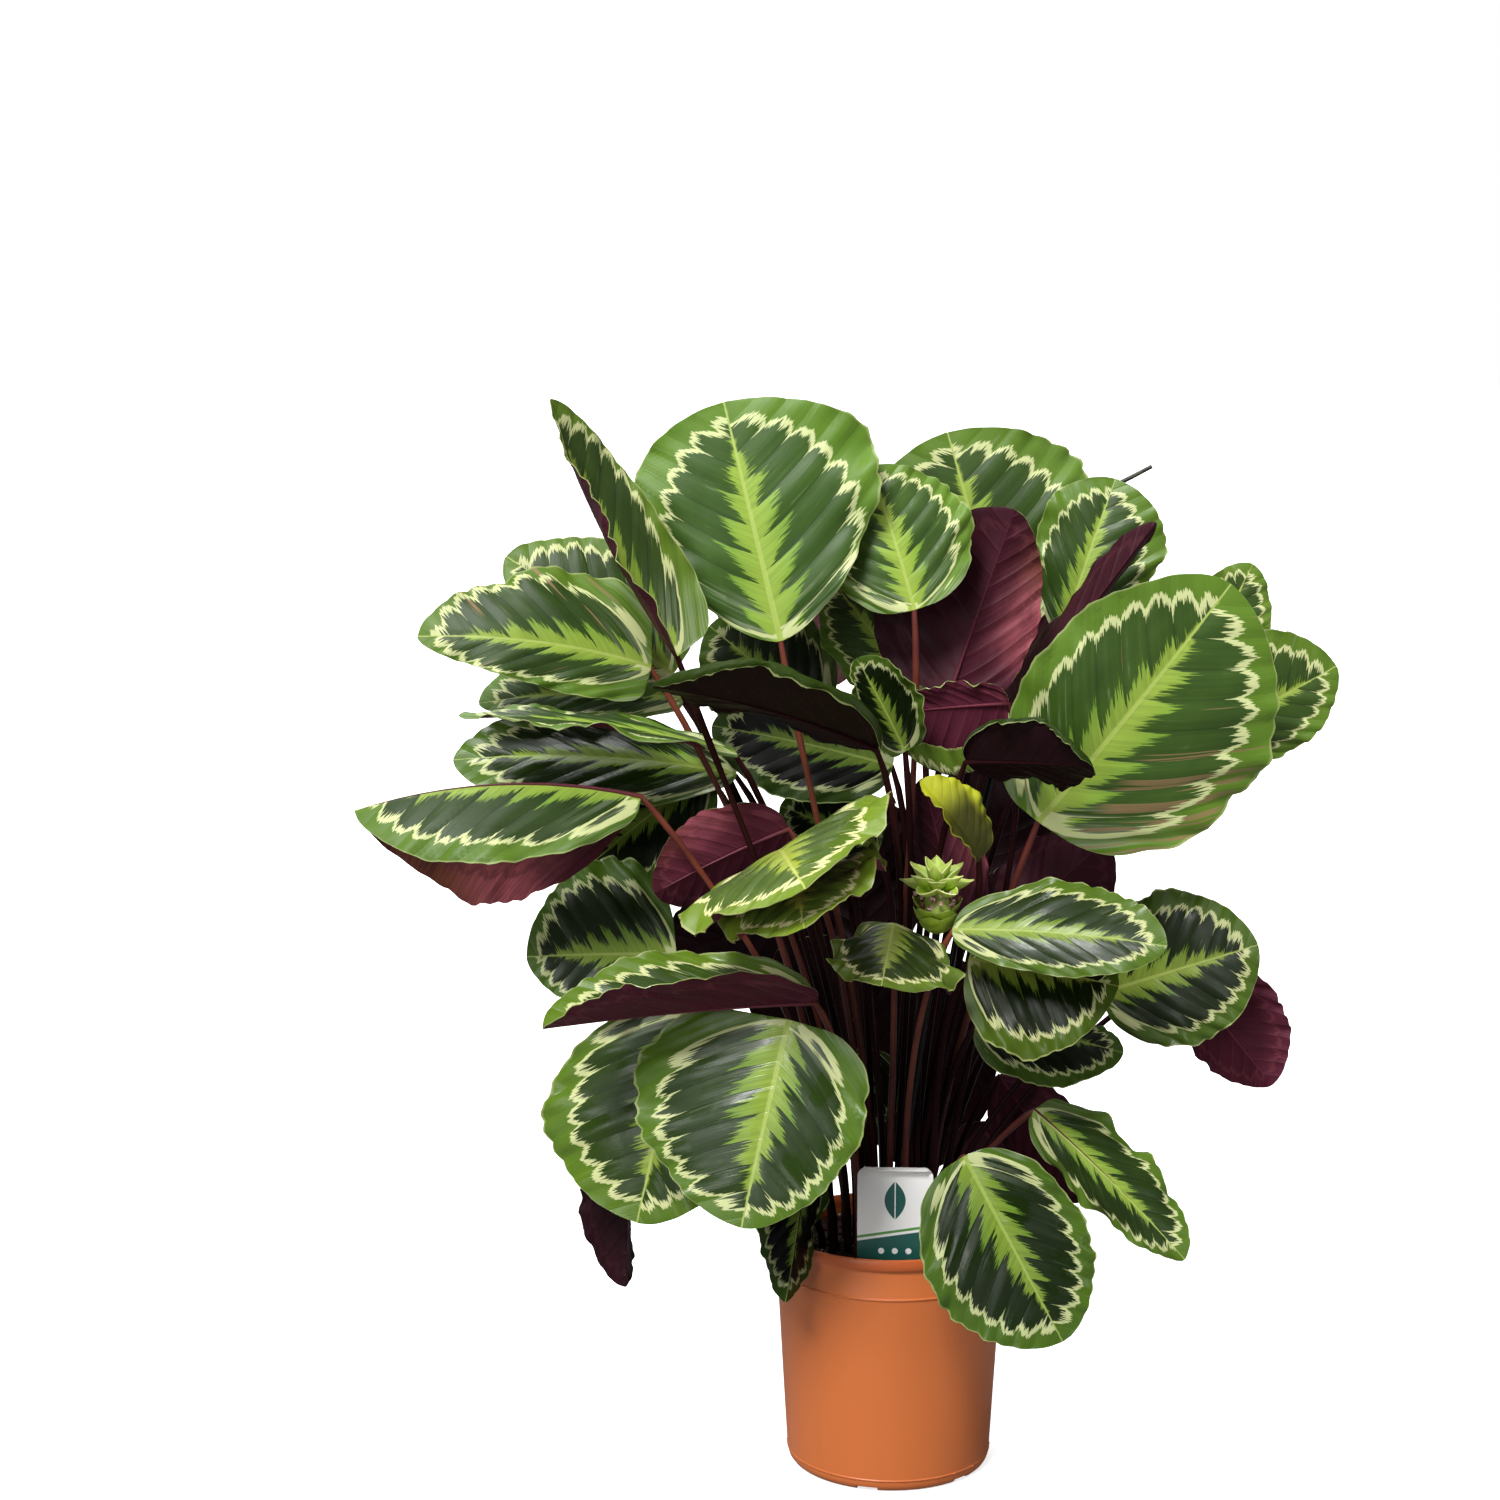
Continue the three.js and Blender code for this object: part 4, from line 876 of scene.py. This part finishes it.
chance = random.Random(FLOWER_SEED)
core = turned(HEAD_CORE, CORE_SIDES)
core.data.transform(Matrix.Translation(FLOWER_TOP * MM))
core.data.materials.append(bract_green.material)
bpy.ops.object.shade_smooth()
core.select_set(False)
for count, base, tip, width, first_turn in WHORLS:
    for number in range(count):
        way = math.radians(first_turn + 360 / count * number)
        out = Vector((math.cos(way), math.sin(way), 0))
        low, high = ((out * reach + Vector((0, 0, up + HEAD_LEAN * reach * out.y))) * MM
                     for reach, up in (base, tip))
        along = high - low
        looks = (Vector((0, 0, BRACT_LOOKS_UP)) - out).normalized()
        looks = (looks - looks.project(along)).normalized()
        right = along.normalized().cross(looks)
        shape = Matrix((right * width * MM, along, looks * along.length)).transposed().to_4x4()
        copy_of(bract, Matrix.Translation(low + Vector(FLOWER_TOP * MM)) @ shape)
bpy.data.objects.remove(bract)
head = joined(core, "flower_bracts")

floret_brown = Bench("dried floret", 0.8)
FLORET_BROWN, FLORET_PINK = srgb("#7c5636"), srgb("#e2bcc0")
blotch_and_glow_patch = floret_brown.object_noise(190.0).step(0.5, 0.62)
floret_brown.paint(floret_brown.mix(blotch_and_glow_patch, FLORET_BROWN, FLORET_PINK))
floret_brown.bump(floret_brown.object_noise(900.0), 0.0004, 0.8)
bpy.ops.mesh.primitive_ico_sphere_add(subdivisions=2, radius=MM)
floret = bpy.context.object
floret.data.materials.append(floret_brown.material)
for vertex in floret.data.vertices:
    vertex.co *= chance.uniform(*FLORET_UNEVEN)
floret.select_set(False)
for number in range(FLORETS):
    way = math.radians(360 / FLORETS * number + chance.uniform(-FLORET_STRAY, FLORET_STRAY))
    reach, up = chance.uniform(*FLORET_REACH), chance.uniform(*FLORET_HEIGHTS)
    spot = Vector(FLOWER_TOP) + Vector((math.cos(way) * reach, math.sin(way) * reach, up))
    copy_of(floret, tumbled(spot * MM, FLORET_SIZE))
florets = bpy.context.selected_objects[0]
bpy.data.objects.remove(floret)
joined(florets, "dried_florets")
path = [*stalk_path(FLOWER_FOOT, FLOWER_TOP, np.array([0, 0, 1.0])), FLOWER_TOP]
flower_stalk = rod("flower_stalk", path, [STALK_FOOT_RADIUS] * len(path), stalk.material)
flower_stalk.select_set(False)
for piece in (head, florets, flower_stalk):
    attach(piece, "root")
    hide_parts("flower_head")

# The new leaf: a blade that is still rolled up to a thin dark rod, on a stalk of its own. It is a sheet that
# is wound a little more than one and a half times round itself, thinner towards its point.
SPEAR_RADIUS, SPEAR_POINT = 2.4, 1.7
SPEAR_TURNS, SPEAR_TWIST = 1.6, 2
SPEAR_WINDING = 0.3
SPEAR_BEND = 6
SPEAR_THICKNESS = 0.4
SPEAR_GRID = (28, 60)
path = [*stalk_path(SPEAR_FOOT, SPEAR_PATH[0], unit(SPEAR_PATH[1] - SPEAR_PATH[0])), SPEAR_PATH[0]]
radii = [STALK_FOOT_RADIUS + (SPEAR_RADIUS - STALK_FOOT_RADIUS) * i / len(path) for i in range(len(path))]
spear_stalk = rod("new_leaf_stalk", path, radii, stalk.material)
spear_stalk.select_set(False)

rolled = Bench("rolled leaf", 0.4)
SPEAR_DARK, SPEAR_GREEN = srgb("#231a1a"), srgb("#3a3f2a")
rolled.paint(rolled.mix(rolled.object_noise(60.0).step(0.4, 0.6), SPEAR_DARK, SPEAR_GREEN))
rolled.roughen(rolled.object_noise(300.0) * 0.3 + 0.25)
rolled.bump(rolled.object_noise(700.0), 0.0004, 0.5)
bpy.ops.mesh.primitive_grid_add(x_subdivisions=SPEAR_GRID[0], y_subdivisions=SPEAR_GRID[1], size=2)
new_leaf = bpy.context.object
new_leaf.name = "rolled_new_leaf"
neck, bend, end = (Vector(point) for point in SPEAR_PATH)
lower_share = (bend - neck).length / ((bend - neck).length + (end - bend).length)
for vertex in new_leaf.data.vertices:
    wound, share = (vertex.co.x + 1) / 2, (vertex.co.y + 1) / 2
    if share < lower_share:
        middle = neck.lerp(bend, share / lower_share)
    else:
        middle = bend.lerp(end, (share - lower_share) / (1 - lower_share))
    past_bend = min(max((share - lower_share) * SPEAR_BEND + 0.5, 0), 1)
    ahead = (bend - neck).normalized().lerp((end - bend).normalized(), past_bend)
    across = Vector((0, 1, 0)).cross(ahead).normalized()
    up = ahead.cross(across)
    radius = SPEAR_RADIUS + (SPEAR_POINT - SPEAR_RADIUS) * share ** 2
    radius *= 1 - SPEAR_WINDING * wound
    turn = 2 * math.pi * SPEAR_TURNS * wound + SPEAR_TWIST * share
    vertex.co = (middle + (across * math.cos(turn) + up * math.sin(turn)) * radius) * MM
new_leaf.data.materials.append(rolled.material)
thickened(new_leaf, SPEAR_THICKNESS * MM)
new_leaf.select_set(False)
for piece in (new_leaf, spear_stalk):
    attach(piece, "root")
    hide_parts("new_leaf")

# The pot: one thin moulding of terracotta-coloured plastic, with a bead round its rim, a collar that a fine
# ridge ends, a tapering body, and a foot ring that six drain notches cut.
POT_HEIGHT, POT_WALL, POT_SIDES = 200, 2, 128
RIM_RADIUS, RIM_LINE_HEIGHT = 95.2, 191
NECK_RADIUS, COLLAR_HEIGHT = 91.6, 167
BODY_TOP_RADIUS, BODY_FOOT_RADIUS = 94.2, 85
FOOT_RADIUS, FOOT_RING_RADIUS, FOOT_LINE_HEIGHT = 78.5, 70, 10.5
BASE_TOP, BASE_RISE, BASE_DISC_RADIUS = 6, 3, 24
RIDGE, POT_EDGE = 0.5, 0.4
DRAIN_COUNT, DRAIN_TURN = 6, -102
DRAIN_NOTCH = (22, 18, 8)
DRAIN_HOLE_RADIUS, DRAIN_HOLE_REACH, DRAIN_HOLE_SIDES = 5, 47, 32
NIBS, NIB_SIZE, NIB_STRAY = 30, 0.8, 4

plastic = Bench("pot plastic", 0.4)
POT_BASE, POT_DUSKY, POT_RIM = srgb("#cd7038"), srgb("#c16532"), srgb("#b75424")
px, py, pz = plastic.split(plastic.place())
flow = plastic.noise(px * 60.0, py * 60.0, pz * 6.0, 2.0)
cloud = plastic.object_noise(9.0)
colour = plastic.mix(flow * 0.35 + cloud * 0.35 - 0.1, POT_BASE, POT_DUSKY)
plastic.paint(plastic.mix(pz.step(0.1885, 0.1905) * 0.7, colour, POT_RIM))
plastic.roughen(flow * 0.12 + cloud * 0.1 + 0.3)
plastic.bump(plastic.object_noise(1400.0, 2.0) * 0.25 + flow * 0.5, 0.0003, 0.35)


def softened(piece, width, sharpest):
    """Bevel the piece's edges where its faces turn by more than this angle in degrees."""
    bpy.ops.object.modifier_add(type="BEVEL")
    edge = piece.modifiers[0]
    edge.width = width * MM
    edge.segments = 2
    edge.limit_method = "ANGLE"
    edge.angle_limit = math.radians(sharpest)
    bpy.ops.object.modifier_apply(modifier=edge.name)


pot = turned((
    (BASE_DISC_RADIUS, 0), (BASE_DISC_RADIUS, BASE_RISE), (FOOT_RING_RADIUS, BASE_RISE),
    (FOOT_RING_RADIUS, 0), (FOOT_RADIUS, 0), (80.6, 0.9), (82.4, 2.4), (83.7, 4.4), (84.4, 6.5),
    (BODY_FOOT_RADIUS - 0.3, FOOT_LINE_HEIGHT - 1.2), (BODY_FOOT_RADIUS + RIDGE, FOOT_LINE_HEIGHT - 0.4),
    (BODY_FOOT_RADIUS + RIDGE, FOOT_LINE_HEIGHT + 0.2), (BODY_FOOT_RADIUS + 0.1, FOOT_LINE_HEIGHT + 0.8),
    (BODY_TOP_RADIUS, COLLAR_HEIGHT - 1.6), (BODY_TOP_RADIUS + 2 * RIDGE, COLLAR_HEIGHT - 0.8),
    (BODY_TOP_RADIUS + 2 * RIDGE, COLLAR_HEIGHT), (BODY_TOP_RADIUS, COLLAR_HEIGHT + 1),
    (NECK_RADIUS + 0.2, RIM_LINE_HEIGHT - 4), (NECK_RADIUS + 0.2, RIM_LINE_HEIGHT - 0.8),
    (RIM_RADIUS - 0.9, RIM_LINE_HEIGHT), (RIM_RADIUS, RIM_LINE_HEIGHT + 2), (RIM_RADIUS, RIM_LINE_HEIGHT + 6),
    (RIM_RADIUS - 0.6, POT_HEIGHT - 0.8), (RIM_RADIUS - 1.6, POT_HEIGHT), (NECK_RADIUS + 0.6, POT_HEIGHT),
    (NECK_RADIUS - 0.2, POT_HEIGHT - 1), (NECK_RADIUS - POT_WALL, POT_HEIGHT - 5),
    (NECK_RADIUS - POT_WALL, RIM_LINE_HEIGHT - 1), (BODY_TOP_RADIUS - POT_WALL, COLLAR_HEIGHT - 3),
    (BODY_FOOT_RADIUS - POT_WALL, FOOT_LINE_HEIGHT + 2), (BODY_FOOT_RADIUS - POT_WALL - 1.5, BASE_TOP),
), POT_SIDES)
pot.name = "nursery_pot"
softened(pot, POT_EDGE, 50)
pot.select_set(False)
for number in range(DRAIN_COUNT):
    turn = math.radians(DRAIN_TURN + 360 / DRAIN_COUNT * number)
    away = Vector((math.cos(turn), math.sin(turn), 0)) * MM
    notch = [size * MM for size in DRAIN_NOTCH]
    bpy.ops.mesh.primitive_cube_add(size=1, location=away * FOOT_RADIUS, rotation=(0, 0, turn), scale=notch)
    cutters = [bpy.context.object]
    bpy.ops.mesh.primitive_cylinder_add(vertices=DRAIN_HOLE_SIDES, radius=DRAIN_HOLE_RADIUS * MM,
                                        depth=3 * BASE_TOP * MM, location=away * DRAIN_HOLE_REACH)
    cutters.append(bpy.context.object)
    for cutter in cutters:
        cut = pot.modifiers.new("drain", "BOOLEAN")
        cut.operation = "DIFFERENCE"
        cut.object = cutter
        bpy.context.view_layer.objects.active = pot
        bpy.ops.object.modifier_apply(modifier=cut.name)
        bpy.data.objects.remove(cutter)

bpy.ops.mesh.primitive_ico_sphere_add(subdivisions=1, radius=NIB_SIZE * MM)
nib = bpy.context.object
nib.select_set(False)
for number in range(NIBS):
    way = math.radians(360 / NIBS * number + chance.uniform(-NIB_STRAY, NIB_STRAY))
    spot = Vector((math.cos(way), math.sin(way), 0)) * (BODY_FOOT_RADIUS + RIDGE) * MM
    copy_of(nib, Matrix.Translation(spot + Vector((0, 0, FOOT_LINE_HEIGHT * MM))))
bpy.data.objects.remove(nib)
joined(pot, "nursery_pot")
pot.data.materials.append(plastic.material)
pot.select_set(True)
bpy.ops.object.shade_smooth_by_angle(angle=math.radians(30))
pot.select_set(False)
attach(pot, "root")
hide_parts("pot")

# The soil: dark peat that fills the pot to a finger's breadth below the rim, uneven on top, with crumbs and a
# few pale grains lying on it.
SOIL_DEPTH, SOIL_CLEAR = 12, 0.3
SOIL_BUMPS, SOIL_BUMP_COUNT, SOIL_EDGE_DROP = 2.2, 5, 3
CRUMBS, CRUMB_SIZE, CRUMB_SPREAD = 420, (1.2, 3.6), 0.97
PALE_SHARE = 0.08
peat = Bench("potting soil", 0.95, 0.2)
PEAT_DARK, PEAT_BROWN = srgb("#1d1410"), srgb("#3d2b20")
peat.paint(peat.mix(peat.object_noise(120.0).step(0.35, 0.65), PEAT_DARK, PEAT_BROWN))
peat.bump(peat.object_noise(500.0, 6.0), 0.002, 0.9)
pale_grain = Bench("soil grain", 0.9)
GRAIN_WHITE, GRAIN_GREY = srgb("#cfc8b8"), srgb("#8c8474")
pale_grain.paint(pale_grain.mix(pale_grain.object_noise(400.0), GRAIN_WHITE, GRAIN_GREY))
pale_grain.bump(pale_grain.object_noise(900.0), 0.0004, 0.8)
soil_radius = NECK_RADIUS - POT_WALL - SOIL_CLEAR
bpy.ops.mesh.primitive_ico_sphere_add(subdivisions=6, radius=1)
soil = bpy.context.object
for vertex in soil.data.vertices:
    x, y, z = vertex.co
    flat = math.hypot(x, y)
    spread = math.sin(flat * math.pi / 2) / max(flat, 1e-6)
    height = SOIL_TOP - SOIL_DEPTH
    if z > 0:
        bump = SOIL_BUMPS * noise.fractal(Vector((x, y, 0)) * SOIL_BUMP_COUNT, 1.0, 2.0, 5)
        height = SOIL_TOP + bump * (1 - flat ** 6) - SOIL_EDGE_DROP * (1 - z ** 2) ** 4
    vertex.co = (x * spread * soil_radius * MM, y * spread * soil_radius * MM, height * MM)
soil.data.materials.append(peat.material)
soil.data.materials.append(pale_grain.material)
bpy.ops.object.shade_smooth()
soil.select_set(False)
bpy.ops.mesh.primitive_ico_sphere_add(subdivisions=1, radius=MM)
crumb = bpy.context.object
crumb.data.materials.append(peat.material)
crumb.data.materials.append(pale_grain.material)
crumb.select_set(False)
for number in range(CRUMBS):
    way, reach = chance.uniform(0, 2 * math.pi), soil_radius * CRUMB_SPREAD * math.sqrt(chance.random())
    spot = Vector((math.cos(way) * reach, math.sin(way) * reach, SOIL_TOP)) * MM
    grain = copy_of(crumb, tumbled(spot, CRUMB_SIZE))
    pale = chance.random() < PALE_SHARE
    for face in grain.data.polygons:
        face.material_index = 1 if pale else 0
bpy.data.objects.remove(crumb)
joined(soil, "potting_soil")
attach(soil, "root")
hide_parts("soil")

# The care card: a thin white plastic label with round top corners, pushed into the soil inside the rim. It is
# printed with a plain design: a dark green foot with a slanting stripe above it, a leaf and three drops.
CARD_WIDTH, CARD_THICKNESS, CARD_EDGE = 61, 0.8, 0.15
CARD_CORNER, CARD_CORNER_STEPS = 6, 10
CARD_TOP, CARD_FOOT = 271, SOIL_TOP - STALK_SUNK
CARD_PLACE = (4.5, -78)
PRINT_TOP, PRINT_SLANT, PRINT_LINE = 216, 0.16, 2.2
INK_EDGE, LINE_EDGE = 0.15, 0.1
MOTIF_MIDDLE, MOTIF_LENGTH, MOTIF_WIDTH = 245, 16, 8.5
DROP_HEIGHT, DROP_SPACING, DROP_RADIUS = 203, 11, 2.4
card_print = Bench("printed card", 0.35)
CARD_WHITE, CARD_TEAL, CARD_LEAF = srgb("#f8f8f4"), srgb("#1f5a52"), srgb("#5d9a4c")
px, _, pz = card_print.split(card_print.place())
wide = px * 1000.0 - CARD_PLACE[0]
high = pz * 1000.0
edge = high - wide * PRINT_SLANT
beside = wide.sum("ABSOLUTE")
leaf_shape = (beside / MOTIF_WIDTH + ((high - MOTIF_MIDDLE) / MOTIF_LENGTH) ** 2.0).step(1.02, 0.98)
leaf_rib = beside.step(0.55, 0.35)
fall = ((wide + DROP_SPACING * 1.5) / DROP_SPACING).sum("FRACT") - 0.5
drop = ((fall * DROP_SPACING) ** 2.0 + (high - DROP_HEIGHT) ** 2.0).sum("SQRT")
drop = drop.step(DROP_RADIUS + INK_EDGE, DROP_RADIUS)
drop = drop * beside.step(DROP_SPACING * 1.5 + LINE_EDGE, DROP_SPACING * 1.5)
colour = card_print.mix(edge.step(PRINT_TOP + INK_EDGE, PRINT_TOP - INK_EDGE), CARD_WHITE, CARD_TEAL)
stripe = (edge - (PRINT_TOP + PRINT_LINE * 1.5)).sum("ABSOLUTE")
stripe = stripe.step(PRINT_LINE / 2 + LINE_EDGE, PRINT_LINE / 2 - LINE_EDGE)
colour = card_print.mix(stripe, colour, CARD_LEAF)
colour = card_print.mix(leaf_shape, colour, CARD_TEAL)
colour = card_print.mix(leaf_shape * leaf_rib, colour, CARD_WHITE)
card_print.paint(card_print.mix(drop, colour, CARD_WHITE))
card_print.roughen(card_print.object_noise(80.0) * 0.15 + 0.28)
card_print.bump(card_print.object_noise(30.0), 0.0005, 0.2)

bpy.ops.mesh.primitive_cube_add(size=1, location=(0, 0, 0))
card = bpy.context.object
card.name = "care_card_plate"
size = Vector((CARD_WIDTH, CARD_THICKNESS, CARD_TOP - CARD_FOOT)) * MM
card.data.transform(Matrix.Diagonal((*size, 1)))
card.data.transform(Matrix.Translation(Vector((*CARD_PLACE, (CARD_TOP + CARD_FOOT) / 2)) * MM))
bpy.ops.object.mode_set(mode="EDIT")
bpy.ops.mesh.select_all(action="DESELECT")
bpy.ops.object.mode_set(mode="OBJECT")
for rim in card.data.edges:
    ends = [card.data.vertices[i].co for i in rim.vertices]
    rim.select = min(end.z for end in ends) > (CARD_TOP - 1) * MM and abs(ends[0].y - ends[1].y) > MM / 2
bpy.ops.object.mode_set(mode="EDIT")
bpy.ops.mesh.bevel(offset=CARD_CORNER * MM, segments=CARD_CORNER_STEPS, affect="EDGES")
bpy.ops.object.mode_set(mode="OBJECT")
softened(card, CARD_EDGE, 30)
bpy.ops.object.shade_smooth_by_angle(angle=math.radians(30))
card.data.materials.append(card_print.material)
card.select_set(False)
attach(card, "root")
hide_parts("care_card")
